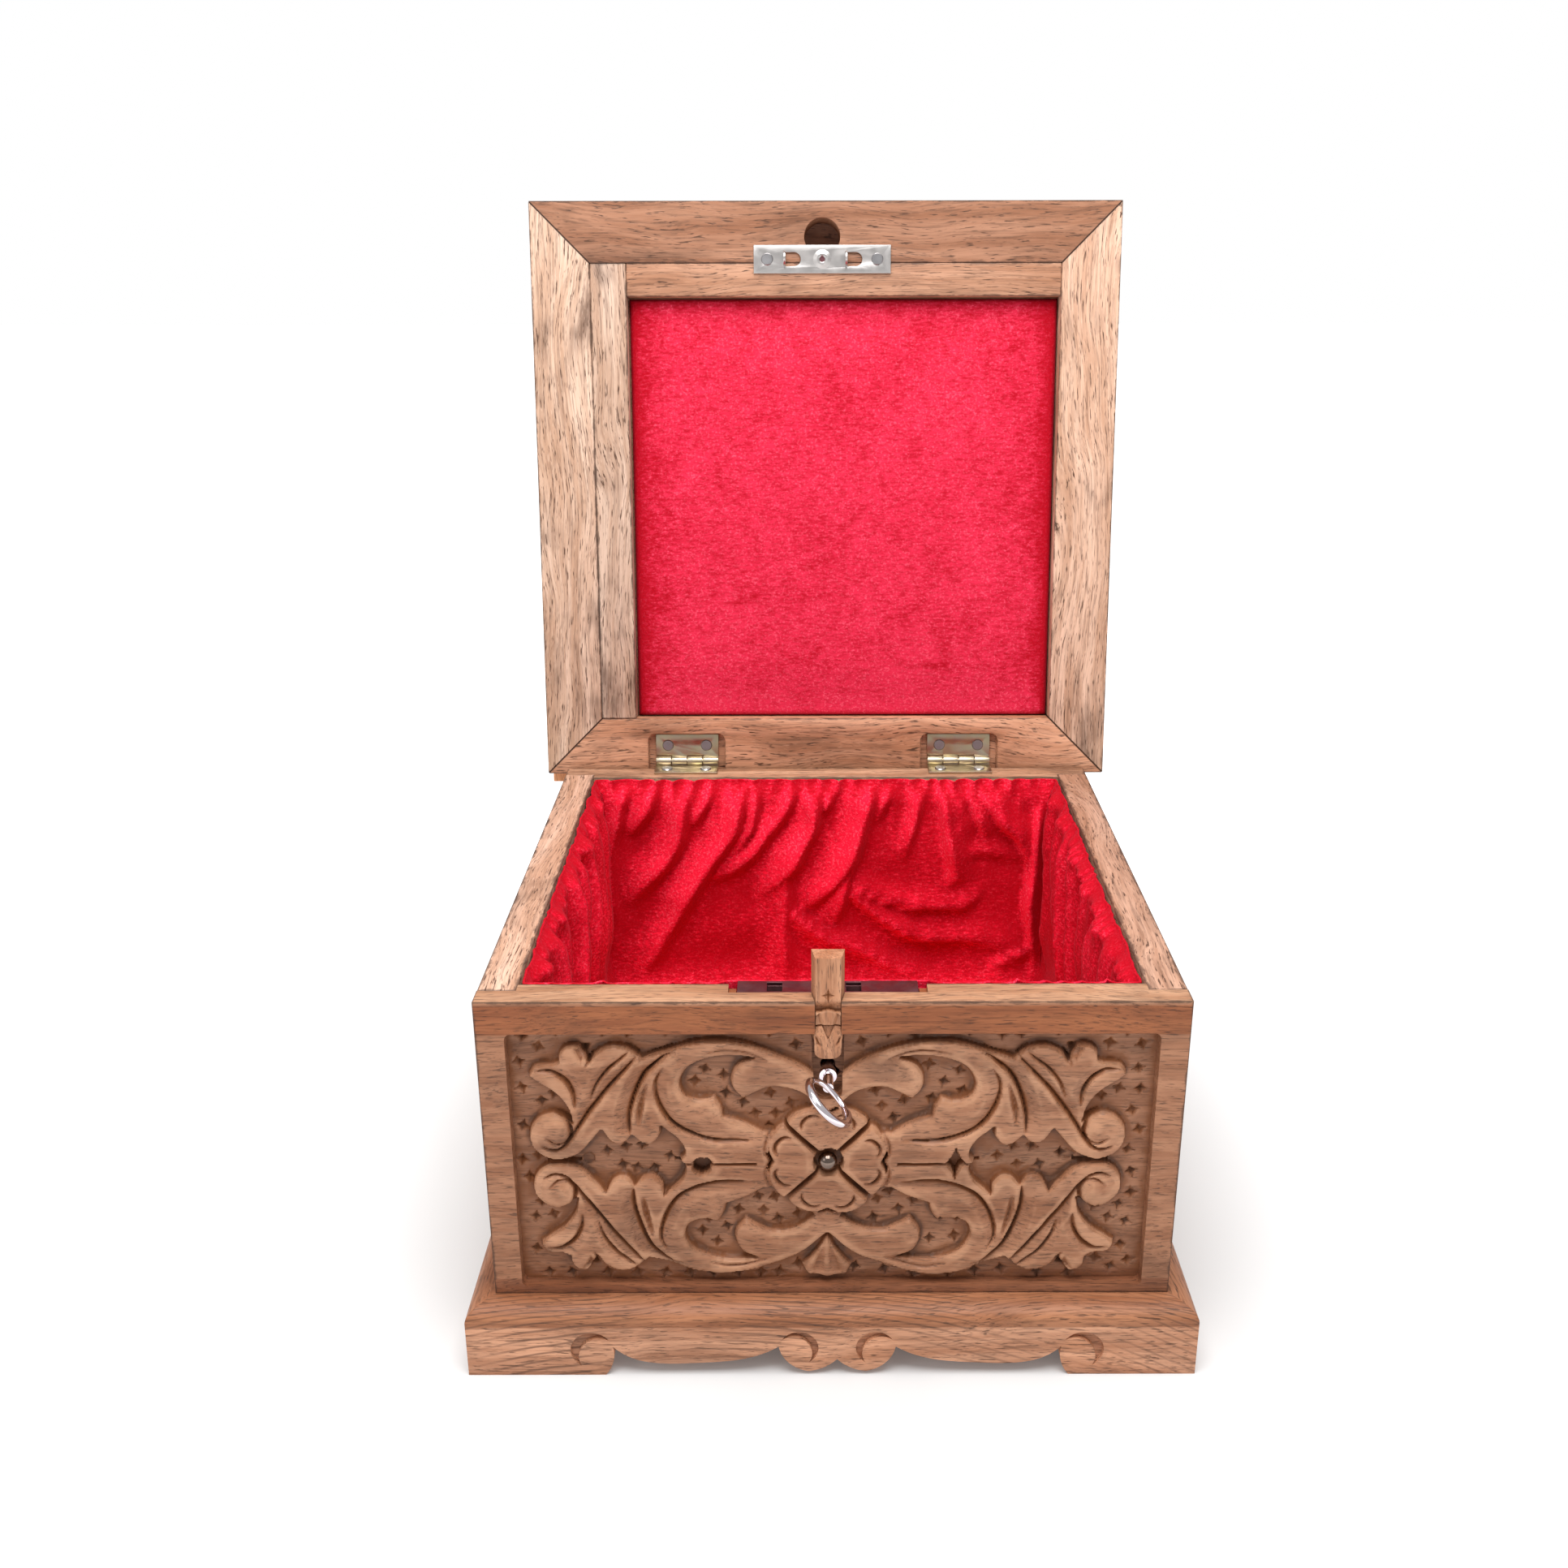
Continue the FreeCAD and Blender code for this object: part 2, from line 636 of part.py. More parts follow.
def keyhole_cover():
    """Dovetailed bar with a tulip head, raised until the head meets the border of the field."""
    x = s.mech_shift
    near = front + s.cover_inset
    far = near + s.cover_thick
    section = polygon([(x - s.cover_front / 2, near), (x + s.cover_front / 2, near),
                       (x + s.cover_back / 2, far), (x - s.cover_back / 2, far)])
    bar = prism("cover_bar", "XY", section, f"{COVER_LOW} + head_waist", COVER_TOP)
    top = cover_low + s.head_high
    middle = (cover_low + top) / 2
    half = s.head_width / 2
    waist = half - s.head_waist
    outline = chain(
        [(x - waist, top), (x - half, middle)],
        [(x, cover_low), (x + half, middle)],
        [(x + waist, top)],
    )
    head = prism("cover_head", "XZ", outline, f"{FRONT} + cover_inset", f"{FRONT} + cover_inset + head_depth")
    z = top + s.neck_rise
    vee = [(near - s.past, z - s.neck_groove - s.past), (near + s.neck_groove, z),
           (near - s.past, z + s.neck_groove + s.past)]
    neck = prism("cover_neck", "YZ", polygon(vee), "mech_shift - cover_back", "mech_shift + cover_back")
    keep(cut("keyhole_cover", fuse("cover_whole", bar, head), neck), "keyhole_cover")


def lock():
    """Box lock: slotted selvedge, open-topped case with a keyhole, bolt with two prongs, drill pin."""
    y = (LOCK_FRONT, LOCK_BACK)
    plate = block("selvedge_plate", about("mech_shift", "selvedge_length / 2"), y,
                  (SELVEDGE_LOW, SELVEDGE_TOP))
    shell = block("case_shell", about("mech_shift", CASE_HALF), y, (CASE_LOW, SELVEDGE_LOW))
    hollow = block("case_hollow", about("mech_shift", f"{CASE_HALF} - case_wall"),
                   (f"{LOCK_FRONT} + case_wall", f"{LOCK_BACK} - case_wall"),
                   (f"{CASE_LOW} + case_wall", f"{SELVEDGE_LOW} + past"))
    case_hole = keyhole("case_keyhole", f"{LOCK_FRONT} - past", f"{LOCK_FRONT} + case_wall + past")
    keep(cut("lock_case", shell, hollow, case_hole), "lock_case")

    tip = f"({RIM} + lid_gap - strike_thick - tongue_length)"
    bar = (f"{tip} - tongue_play - bolt_bar", f"{tip} - tongue_play")
    prong = about(f"({tip} + {EYE} + eye_edge)", "bolt_prong / 2")
    y_bar = (f"{LOCK_FRONT} + case_wall + lock_play", f"{LOCK_FRONT} + case_wall + lock_play + bolt_thick")
    y_prong = about(f"({FRONT} + {STRIKE_IN})", "bolt_prong / 2")
    slots = []
    pieces = []
    for end in ("tongue_left", "tongue_right"):
        slots.append(block(end + "_slot", (f"mech_shift + {end} - tongue_slot",
                                           f"mech_shift + {end} + strike_thick + tongue_play"),
                           about(f"({FRONT} + {STRIKE_IN})", "tongue_width / 2 + tongue_play"),
                           (f"{SELVEDGE_LOW} - past", f"{SELVEDGE_TOP} + past")))
        stop = f"mech_shift + {end} - tongue_play"
        post = (f"{stop} - bolt_throw - bolt_spare - bolt_post", f"{stop} - bolt_throw - bolt_spare")
        pieces.append(block(end + "_post", post, (y_bar[0], y_prong[1]), (bar[1], prong[1])))
        pieces.append(block(end + "_prong", (post[1], stop), y_prong, prong))
    keep(cut("lock_selvedge", plate, *slots), "lock_selvedge")
    pieces.append(block("bolt_bar_piece", ("mech_shift + lock_play + case_wall - " + CASE_HALF,
                                           "mech_shift + tongue_right + bolt_tail"), y_bar, bar))
    pieces.append(block("bolt_talon_piece", about("mech_shift", "bolt_talon / 2"), y_bar,
                        (f"{KEY_Z} + key_bit_reach + key_hole_play", bar[0])))
    keep(fuse("lock_bolt", *pieces), "lock_bolt")
    pin_start = ("mech_shift", f"{LOCK_BACK} - case_wall - drill_pin_length", KEY_Z)
    keep(rod("drill_pin", "y", "key_bore - drill_pin_play", pin_start, "drill_pin_length"), "drill_pin")


def key():
    """Pipe key with a ring bow, drawn along Y with the bow flat, then rolled to its place in the lock."""
    tip = f"({LOCK_IN} + selvedge_width - case_wall - key_tip_play)"
    shank = rod("key_shank", "y", "key_radius", ("0", "0", "0"), tip)
    neck = rod("key_neck_bar", "y", "key_neck", ("0", "bow_radius - bow_reach", "0"),
               "bow_reach - bow_radius")
    collar = rod("key_collar_ring", "y", "key_collar", ("0", "0", "0"), "key_collar_length")
    bit_y = (f"{tip} - key_bit_end - key_bit_length", f"{tip} - key_bit_end")
    bit = block("key_bit", ("0", "key_bit_reach"), bit_y, about("0", "key_bit_thick / 2"))
    bow = doc.addObject("Part::Torus", "key_bow")
    bind(bow, "Radius1", "bow_radius")
    bind(bow, "Radius2", "bow_wire")
    place(bow, ("0", "-bow_reach", "0"))
    pipe = rod("key_pipe", "y", "key_bore", ("0", f"{tip} - key_bore_depth", "0"), "key_bore_depth + past")
    whole = cut("key", fuse("key_whole", shank, neck, collar, bit, bow), pipe)
    whole.Placement = Placement(Vector(s.mech_shift, front, key_z), Rotation(Vector(0, 1, 0), s.key_roll))
    keep(whole, "key")


def lid_rail(side, *tools):
    """One lid rail: rounded outer top edge, mitred ends, less the given cuts."""
    across = side in ("front", "back")
    formula = "box_width + 2 * lid_side_reach" if across else "box_depth + lid_front_reach + lid_back_reach"
    top = face + s.lid_thick
    q = s.lid_edge * rounding
    profile = chain(
        [(0, face), (s.lid_rail, face)],
        [(s.lid_rail, top)],
        [(s.lid_edge, top)],
        [(q, top - q), (0, top - s.lid_edge)],
    )
    name = "lid_rail_" + side
    depth = lid_back - lid_front
    body = mitred_rail(name, profile, 2 * lid_half if across else depth, formula, s.lid_rail)
    body.Placement = frame_side(side, 2 * lid_half, depth, (lid_front + lid_back) / 2)
    hang(cut(name, body, *tools) if tools else body, name)


def hinge_pocket(name, centre):
    """Pocket of a hinge in the back rail of the lid, open to the rear, with two rounded corners."""
    half = s.hinge_width / 2 + s.pocket_side
    deep = -s.leaf_length - s.pocket_end
    r = s.pocket_corner
    q = r * rounding
    open_end = lid_back + s.past
    outline = chain(
        [(centre - half, open_end), (centre - half, deep + r)],
        [(centre - half + q, deep + q), (centre - half + r, deep)],
        [(centre + half - r, deep)],
        [(centre + half - q, deep + q), (centre + half, deep + r)],
        [(centre + half, open_end)],
    )
    return prism("hinge_pocket_" + name, "XY", outline, f"{FACE} - past", "pin_rise")


def slide_channel(name):
    """Channel of the sliding strip, open at the rear edge of the lid."""
    edge = f"(slide_inset - {LID_HALF})"
    return block(name, (edge, f"{edge} + slide_width"), (f"{LID_BACK} - slide_length", f"{LID_BACK} + past"),
                 (f"{FACE} + slide_level", f"{FACE} + slide_level + slide_high"))


def lid():
    """Lid frame, panel, filler strips and pad, and the strip that slides in the left edge."""
    hole_start = ("mech_shift", f"{SHUT_FRONT} + hole_inset", f"{FACE} - past")
    hole = rod("cover_hole", "z", "hole_radius", hole_start, "cover_travel - lid_gap + hole_spare + past")
    lid_rail("front", hole)
    lid_rail("back", hinge_pocket("left", s.hinge_left), hinge_pocket("right", s.hinge_right),
             slide_channel("channel_back"))
    lid_rail("left", slide_channel("channel_left"))
    lid_rail("right")
    inner = lid_half - s.lid_rail
    near = lid_front + s.lid_rail
    far = lid_back - s.lid_rail
    left = -inner + s.strip_left_width
    strip = near + s.strip_front_width
    hang(prism("panel", "XY", flat(-inner, inner, near, far), SEAT, f"{FACE} + lid_thick"), "lid_top_panel")
    hang(prism("strip_left", "XY", flat(-inner, left, near, far), FACE, SEAT), "lid_strip_left")
    hang(prism("strip_front", "XY", flat(left, inner, near, strip), FACE, SEAT), "lid_strip_front")
    lid_pad(left + s.pad_play, inner - s.pad_play, strip + s.pad_play, far - s.pad_play)
    edge = s.slide_inset - lid_half
    tail = lid_back + s.slide_proud
    plan = flat(edge + s.slide_play, edge + s.slide_width - s.slide_play,
                tail - s.slide_length + s.slide_play, tail)
    hang(prism("slide", "XY", plan, f"{FACE} + slide_level + slide_play",
               f"{FACE} + slide_level + slide_high - slide_play"), "secret_slide")


def wire(runs):
    """A closed wire through runs of points in space: two make a line and three make an arc."""
    edges = [Part.LineSegment(*spots) if len(spots) == 2 else Part.Arc(*spots) for spots in runs]
    return Part.Wire([edge.toShape() for edge in edges])


def lid_pad(x0, x1, y0, y1):
    """Velvet pad of the lid: a loft through crowned sections, flattest at its two ends."""
    back = face + s.lid_thick - s.panel_thick - s.pad_play
    low = back - s.pad_thick
    sections = []
    for y, crown in ((y0, s.pad_end_crown), ((y0 + y1) / 2, s.pad_crown), (y1, s.pad_end_crown)):
        start, end = Vector(x0, y, low), Vector(x1, y, low)
        start_back, end_back = Vector(x0, y, back), Vector(x1, y, back)
        swell = [start, Vector((x0 + x1) / 2, y, low - crown), end]
        sections.append(wire([swell, [end, end_back], [end_back, start_back], [start_back, start]]))
    item = doc.addObject("Part::Feature", "lid_pad")
    item.Shape = Part.makeLoft(sections, True, False)
    hang(item, "lid_velvet_pad")


def strike_plate():
    """Strike plate on the lid: two tongues bent out of D-shaped windows, each with an eye for a prong."""
    line = shut_front + lock_in + s.selvedge_width / 2
    x = s.mech_shift
    half = s.strike_length / 2
    wide = s.strike_width / 2
    plate = prism("strike_flat", "XY", flat(x - half, x + half, line - wide, line + wide), STRIKE_LOW, FACE)
    base = face - s.strike_thick
    r = s.tongue_width / 2
    straight = s.tongue_length - r
    cuts = []
    tongues = []
    for end, start in (("left", x + s.tongue_left), ("right", x + s.tongue_right)):
        window = chain(
            [(start, line - r), (start + straight, line - r)],
            [(start + s.tongue_length, line), (start + straight, line + r)],
            [(start, line + r)],
        )
        cuts.append(prism(f"window_{end}", "XY", window, f"{STRIKE_LOW} - past", f"{FACE} + past"))
        hook = chain(
            [(line - r, face), (line - r, base - straight)],
            [(line, base - s.tongue_length), (line + r, base - straight)],
            [(line + r, face)],
        )
        at = f"mech_shift + tongue_{end}"
        tongue = prism(f"tongue_{end}", "YZ", hook, at, f"{at} + strike_thick")
        eye = rod(f"eye_{end}", "x", EYE,
                  (f"{at} - past", SHUT_STRIKE, f"{STRIKE_LOW} - tongue_length + {EYE} + eye_edge"),
                  "strike_thick + 2 * past")
        tongues.append(cut(f"tongue_{end}_eyed", tongue, eye))
    nails = []
    for end, sign in (("left", "-"), ("right", "+")):
        spot = f"mech_shift {sign} (strike_length / 2 - strike_nail_in)"
        cuts.append(rod(f"strike_hole_{end}", "z", "nail_shank + nail_play",
                        (spot, SHUT_STRIKE, f"{STRIKE_LOW} - past"), "strike_thick + 2 * past"))
        nails.append(nail(f"strike_nail_{end}", spot, SHUT_STRIKE, STRIKE_LOW, "strike_thick", -1))
    hang(fuse("strike_plate", cut("strike_open", plate, *cuts), *tongues), "strike_plate")
    hang(fuse("strike_nails", *nails), "strike_nails")


def nail(name, x, y, z, grip, way):
    """A flat-headed nail on a plate's face at z, its shank through the plate; way is the head's side."""
    head_low = z if way > 0 else f"({z}) - nail_head_high"
    shank_low = f"({z}) - {grip}" if way > 0 else z
    return fuse(name, rod(name + "_head", "z", "nail_head", (x, y, head_low), "nail_head_high"),
                rod(name + "_shank", "z", "nail_shank", (x, y, shank_low), grip))


def hinges():
    """Two butt hinges: box leaf on the rim, lid leaf in its pocket, four knuckles on one pin."""
    box_nails = []
    lid_nails = []
    for side in ("left", "right"):
        box_leaf = hinge_leaf(side, "box", 0, ("-pin_rise", "leaf_thick - pin_rise"))
        box_leaf.Placement = Placement(Vector(0, pin_y, pin_z), Rotation())
        keep(box_leaf, f"hinge_{side}_box_leaf")
        hang(hinge_leaf(side, "lid", 1, ("pin_rise - leaf_thick", "pin_rise")), f"hinge_{side}_lid_leaf")
        pin_start = (f"hinge_{side} - hinge_width / 2", f"{BACK} + pin_back", f"{RIM} + pin_rise")
        keep(rod(f"pin_{side}", "x", "pin_radius", pin_start, "hinge_width"), f"hinge_{side}_pin")
        for end, sign in (("left", "-"), ("right", "+")):
            x = f"hinge_{side} {sign} nail_spread"
            box_nails.append(nail(f"box_nail_{side}_{end}", x, f"{BACK} + pin_back - nail_out",
                                  f"{RIM} + leaf_thick", "leaf_thick", 1))
            lid_nails.append(nail(f"lid_nail_{side}_{end}", x, "-nail_out", "pin_rise - leaf_thick",
                                  "leaf_thick", -1))
    keep(fuse("hinge_box_nails", *box_nails), "hinge_box_nails")
    hang(fuse("hinge_lid_nails", *lid_nails), "hinge_lid_nails")


def hinge_leaf(side, leaf, first, level):
    """One leaf drawn about the pin, its plate at a level, carrying every second knuckle from the first."""
    name = f"hinge_{side}_{leaf}"
    left = f"(hinge_{side} - hinge_width / 2)"
    edge = "-knuckle_radius - knuckle_gap"
    pieces = [block(name + "_plate", (left, f"{left} + hinge_width"), ("-leaf_length", edge), level)]
    wide = "hinge_width / 4 - knuckle_gap"
    for n in (first, first + 2):
        start = f"({left} + {n} * hinge_width / 4 + knuckle_gap / 2)"
        pieces.append(block(f"{name}_tab_{n}", (start, f"{start} + {wide}"), (edge, "0"), level))
        pieces.append(rod(f"{name}_knuckle_{n}", "x", "knuckle_radius", (start, "0", "0"), wide))
    holes = [rod(name + "_bore", "x", "pin_radius + pin_play", (f"{left} - past", "0", "0"),
                 "hinge_width + 2 * past")]
    for end, sign in (("left", "-"), ("right", "+")):
        holes.append(rod(f"{name}_hole_{end}", "z", "nail_shank + nail_play",
                         (f"hinge_{side} {sign} nail_spread", "-nail_out", f"{level[0]} - past"),
                         "leaf_thick + 2 * past"))
    return cut(name + "_leaf", fuse(name + "_solid", *pieces), *holes)


def folds(width, count, height, thick, depth, lean, phase, back=()):
    """Closed section of a gathered lining: a row of rounded folds in front of a back line."""
    spots = []
    for n in range(count + 1):
        x = (2 * n / count - 1) * width / 2
        behind = back and back[0][0] - s.fold_pitch < x < back[-1][0] + s.fold_pitch
        near = max(y for _, y in back) if behind else 0
        spots.append(Vector(x + (lean if 0 < n < count else 0), thick + near, height))
    corners = [Vector(-width / 2, 0, height)] + [Vector(x, y, height) for x, y in back]
    corners += [Vector(width / 2, 0, height), spots[-1]]
    runs = [[a, b] for a, b in zip(corners, corners[1:])]
    for n in reversed(range(count)):
        swell = depth * (0.62 + 0.38 * math.sin(1.9 * n + phase))
        runs.append([spots[n + 1], (spots[n] + spots[n + 1]) / 2 + Vector(0, swell, 0), spots[n]])
    runs.append([spots[0], corners[0]])
    return wire(runs)


def gathered(label, width, ends, sizes, leans, phase, placement, back=()):
    """A gathered velvet panel: a ruled loft between the folds at its two ends."""
    thick, depth, pitch = sizes
    count = max(2, round(width / pitch))
    sections = []
    for height, lean in zip(ends, leans):
        sections.append(folds(width, count, height, thick, depth, lean, phase, back))
    item = doc.addObject("Part::Feature", label + "_folds")
    item.Shape = Part.makeLoft(sections, True, True)
    item.Placement = placement
    keep(item, label)


def lining():
    """Velvet over the four walls and the floor, the front one passing behind the lock."""
    inside_x = s.box_width / 2 - s.wall - s.lining_play
    inside_y = s.box_depth / 2 - s.wall - s.lining_play
    bulk = s.lining_thick + s.fold_depth + s.lining_play
    bump = max(s.lining_play, lock_in + s.selvedge_width - s.wall)
    lock_half = max(s.selvedge_length / 2, -s.tongue_left + s.tongue_play + s.bolt_throw + s.bolt_spare
                    + s.bolt_post + s.lock_play + s.case_wall) + s.lining_play
    left, right = s.mech_shift - lock_half, s.mech_shift + lock_half
    lock_back = [(left, 0), (left, bump), (right, bump), (right, 0)]
    low = s.plinth_height + s.floor_thick + s.lining_play
    ends = (low, rim - s.lining_drop)
    wall_sizes = (s.lining_thick, s.fold_depth, s.fold_pitch)
    lean = s.fold_lean
    up = Vector(0, 0, 1)
    gathered("lining_back", 2 * inside_x, ends, wall_sizes, (lean, 0), 0.4,
             Placement(Vector(0, inside_y, 0), Rotation(up, 180)))
    gathered("lining_front", 2 * inside_x, ends, wall_sizes, (0, 0), 2.0,
             Placement(Vector(0, -inside_y, 0), Rotation()), lock_back)
    side = 2 * (inside_y - bulk)
    gathered("lining_left", side, ends, wall_sizes, (lean, 0), 1.1,
             Placement(Vector(-inside_x, 0, 0), Rotation(up, -90)))
    gathered("lining_right", side, ends, wall_sizes, (-lean, 0), 3.0,
             Placement(Vector(inside_x, 0, 0), Rotation(up, 90)))
    near = -inside_y + bulk + bump
    far = inside_y - bulk
    floor_sizes = (s.floor_pad, s.floor_fold, 2 * s.fold_pitch)
    gathered("lining_floor", 2 * (inside_x - bulk), (near, far), floor_sizes, (0, lean), 0.6,
             Placement(Vector(0, near + far, low), Rotation(Vector(1, 0, 0), 90)))


def write_parts():
    """Check every object and write each named piece to its own file."""
    doc.recompute()
    for item in doc.Objects:
        if "Invalid" in item.State or "Error" in item.State:
            raise RuntimeError(f"{item.Name} failed: {item.State}")
    os.makedirs("parts", exist_ok=True)
    for item in parts:
        if item.Shape.isNull() or not item.Shape.isValid() or not item.Shape.Solids:
            raise RuntimeError(f"{item.Label} has no valid solid")
        item.Shape.exportStep(f"parts/{item.Label}.step")
    print(len(parts), "parts written")


for rail_side in ("front", "right", "back", "left"):
    plinth_rail(rail_side)
other_boards()
front_board()
keyhole_cover()
lock()
key()
lid()
strike_plate()
hinges()
lining()
write_parts()
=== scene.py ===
"""Carved walnut puzzle box: the finished looks of its boards, carving, metalwork and velvet."""
import json
import math

import bmesh
import bpy
import numpy as np
from bpy.props import FloatProperty, FloatVectorProperty, IntProperty, PointerProperty
from mathutils import Matrix, Vector


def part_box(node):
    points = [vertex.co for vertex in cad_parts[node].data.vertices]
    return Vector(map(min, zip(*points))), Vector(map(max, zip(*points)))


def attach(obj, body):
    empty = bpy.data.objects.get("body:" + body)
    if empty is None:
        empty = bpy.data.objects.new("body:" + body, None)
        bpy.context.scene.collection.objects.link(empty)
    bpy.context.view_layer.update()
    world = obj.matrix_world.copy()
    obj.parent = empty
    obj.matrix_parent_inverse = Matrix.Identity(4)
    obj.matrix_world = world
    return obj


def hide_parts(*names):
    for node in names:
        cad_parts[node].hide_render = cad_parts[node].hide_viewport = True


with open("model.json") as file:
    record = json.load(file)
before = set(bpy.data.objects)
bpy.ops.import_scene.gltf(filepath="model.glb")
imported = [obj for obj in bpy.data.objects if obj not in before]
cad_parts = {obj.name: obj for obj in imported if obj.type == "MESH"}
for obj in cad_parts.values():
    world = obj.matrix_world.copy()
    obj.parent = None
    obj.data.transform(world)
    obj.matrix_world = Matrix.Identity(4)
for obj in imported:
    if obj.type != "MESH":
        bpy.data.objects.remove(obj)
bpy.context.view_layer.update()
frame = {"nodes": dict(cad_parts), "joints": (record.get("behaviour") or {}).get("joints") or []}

bl_info = {
    "name": "Carved Puzzle Box",
    "version": (1, 0, 0),
    "blender": (4, 5, 0),
    "location": "3D View > Sidebar > Puzzle Box",
    "description": "Builds the carved boards, metalwork and velvet of a puzzle box",
    "category": "Add Mesh",
}

# Millimetres in a metre
MM = 1000
# Points nearer to each other than this are in one place
SAME_PLACE = 1e-6
JOINTS = {joint["name"]: joint for joint in frame["joints"]}
COVER_TRAVEL = -JOINTS["cover_slide"]["range_m"][0]
LID_OPEN = JOINTS["lid_hinge"]["range_deg"][1]
PIN = Vector(JOINTS["lid_hinge"]["pos_m"])
# Takes a place on the shut lid to the same place on the open lid
LID_TURN = (Matrix.Translation(PIN) @ Matrix.Rotation(math.radians(-LID_OPEN), 4, "X")
            @ Matrix.Translation(-PIN))

# Sunk field of the front board: its borders, and how far its carved block goes into the board
FIELD_SIDE = 0.0083
FIELD_FOOT = 0.0024
FIELD_HEAD = 0.0102
FIELD_DEPTH = 0.0074
# Head of the keyhole cover: how far it hangs below the foot of its solid, how far its carving goes up from
# there, how deep the carved layer is, and its half widths at heights above its foot, in millimetres
HEAD_DROP = 0.0043
HEAD_REACH = 0.0184
HEAD_DEPTH = 0.0022
HEAD_RISE = (0, 0.4, 1.3, 2.6, 7.0, 8.2, 9.5, 10.6, 13, 15.5, 22.8)
HEAD_HALF = (2.3, 3.0, 3.65, 3.88, 3.93, 3.75, 3.6, 3.55, 3.5, 3.55, 3.64)
# Way of the keyhole cover in the front: half width and depth of its track, half widths of its slot
TRACK_HALF = 0.00415
TRACK_DEPTH = 0.0034
SLOT_NARROW = 0.00364
SLOT_WIDE = 0.00542
# Nail heads; each starts its own height behind the top of its solid, whose uppermost layer gives its middle
NAIL_RADIUS = 0.0023
NAIL_HEIGHT = 0.0005
NAIL_LAYER = 0.0012
# Lining: its thickness, its space inside the box, and the rows of points up each wall
CLOTH_THICK = 0.0007
BAG_LOW = Vector((-0.0888, -0.0866, 0.0306))
BAG_HIGH = Vector((0.0888, 0.0866, 0.1220))
WALL_ROWS = 42
# Half the length of a wall that the folds are drawn for, in millimetres
HALF_WALL = 88
# Room for the lock behind the lining, in millimetres: its middle, half width and depth
LOCK_ROOM = (-1.3, 32, 4.6)
# Drop of the lining's rim at the lock
LOCK_DROP = 0.0016

# Dirt and wear of the wood, painted shade in its carved hollows, and paler carved edges of wear and painted
# highlight
EDGE_DIRT = (0.045, 0.022, 0.014, 1)
SUNK_GROUND_SHADE = (0.15, 0.066, 0.036, 1)
CREVICE_DIRT_AND_SHADE = (0.04, 0.018, 0.011, 1)
WARM_STAIN = (0.21, 0.073, 0.026, 1)
WORN_EDGE_AND_HIGHLIGHT = (0.55, 0.29, 0.165, 1)
EDGE_SHADE = 0.22
BAND_FADE = 0.0008
# Tints in level bands: lowest and highest height above the table, and the colour that tints the wood there.
# On the front the lowest band darkens the foot at its joint with the plinth, the middle one darkens and warms
# the top border, and the highest is a painted highlight that brightens and greys the upward top face.
FRONT_BANDS = (
    (0.0225, 0.0284, (0.72, 0.60, 0.54)), (0.1115, 0.1208, (0.80, 0.56, 0.36)),
    (0.1217, 0.2, (1.4, 1.7, 1.85)),
)
PLINTH_BANDS = ((0.0168, 0.03, (0.58, 0.48, 0.39)),)
# Marks of a round saw: where its middle was, and radians of mark for each metre away from there
SAW_MIDDLE = (0.16, -0.2, -0.13)
SAW_PITCH = 4300.0

# Quarter of the ornament: millimetres outward and up from the middle of the rosette
LEAF = [
    [(-20, -20), (43.5, -20)],
    [(43.5, 0), (42, 2.5), (43.5, 6.5), (48.5, 11.3)],
    [(48.5, 11.3), (49, 8), (51.5, 5.5), (54.5, 5.8), (57.2, 8.3)],
    [(57.2, 8.3), (59, 6.2), (61.5, 5.6), (64, 7), (66, 10.5)],
    [(66, 10.5), (69, 7), (73, 2.8), (79, 0.5), (84, 2), (87, 6), (87, 11), (84, 14.8), (80, 16.2),
     (76.5, 15)],
    [(74.5, 13.2), (75.5, 18), (79, 23), (83.5, 26.3), (86.5, 28.8)],
    [(86.5, 28.8), (84.5, 31.8), (80, 32.6), (77.8, 33.5)],
    [(77.8, 33.5), (77.3, 36.2), (75, 38.3), (71.5, 38), (69, 33.5)],
    [(69, 33.5), (67, 36.3), (62.5, 38.4), (57.5, 37.4), (53.5, 34)],
    [(53.5, 34), (46, 36.6), (39, 39), (32, 39.8), (25, 39), (17, 36.4), (8, 32.2), (0, 25.5)],
    [(-20, 25.5)],
]
WELL = [
    [(21, 34), (27, 34.9), (33, 34.4), (39.5, 31.5), (42.6, 26.5), (41.5, 22), (37.5, 20.2), (32.8, 20.8)],
    [(32.8, 20.8), (31, 18), (30.2, 14.8)],
    [(30.2, 14.8), (24.5, 12.6), (19, 9.5)],
    [(10, 10), (4, 19.5)],
    [(4, 19.5), (8, 22.7), (12.5, 24.2), (17, 24.2), (21, 22.4), (24.5, 20.5)],
    [(24.5, 20.5), (27.3, 24), (27.6, 28), (25.5, 31.8), (21, 34)],
]
FAN = [[(-9, 20), (0, 26.5), (2.6, 31), (7.8, 37.2)], [(7.8, 37.2), (5.5, 40.2), (0, 41), (-9, 41)]]
PETAL = [
    [(-9, -9), (12.7, 12.3)],
    [(12.7, 12.3), (14.9, 11.0), (17.2, 7.4), (18.0, 3.6), (16.6, 0)],
    [(16.6, 0), (18.0, -3.6), (17.2, -7.4), (14.9, -11.0), (12.7, -12.3)],
]
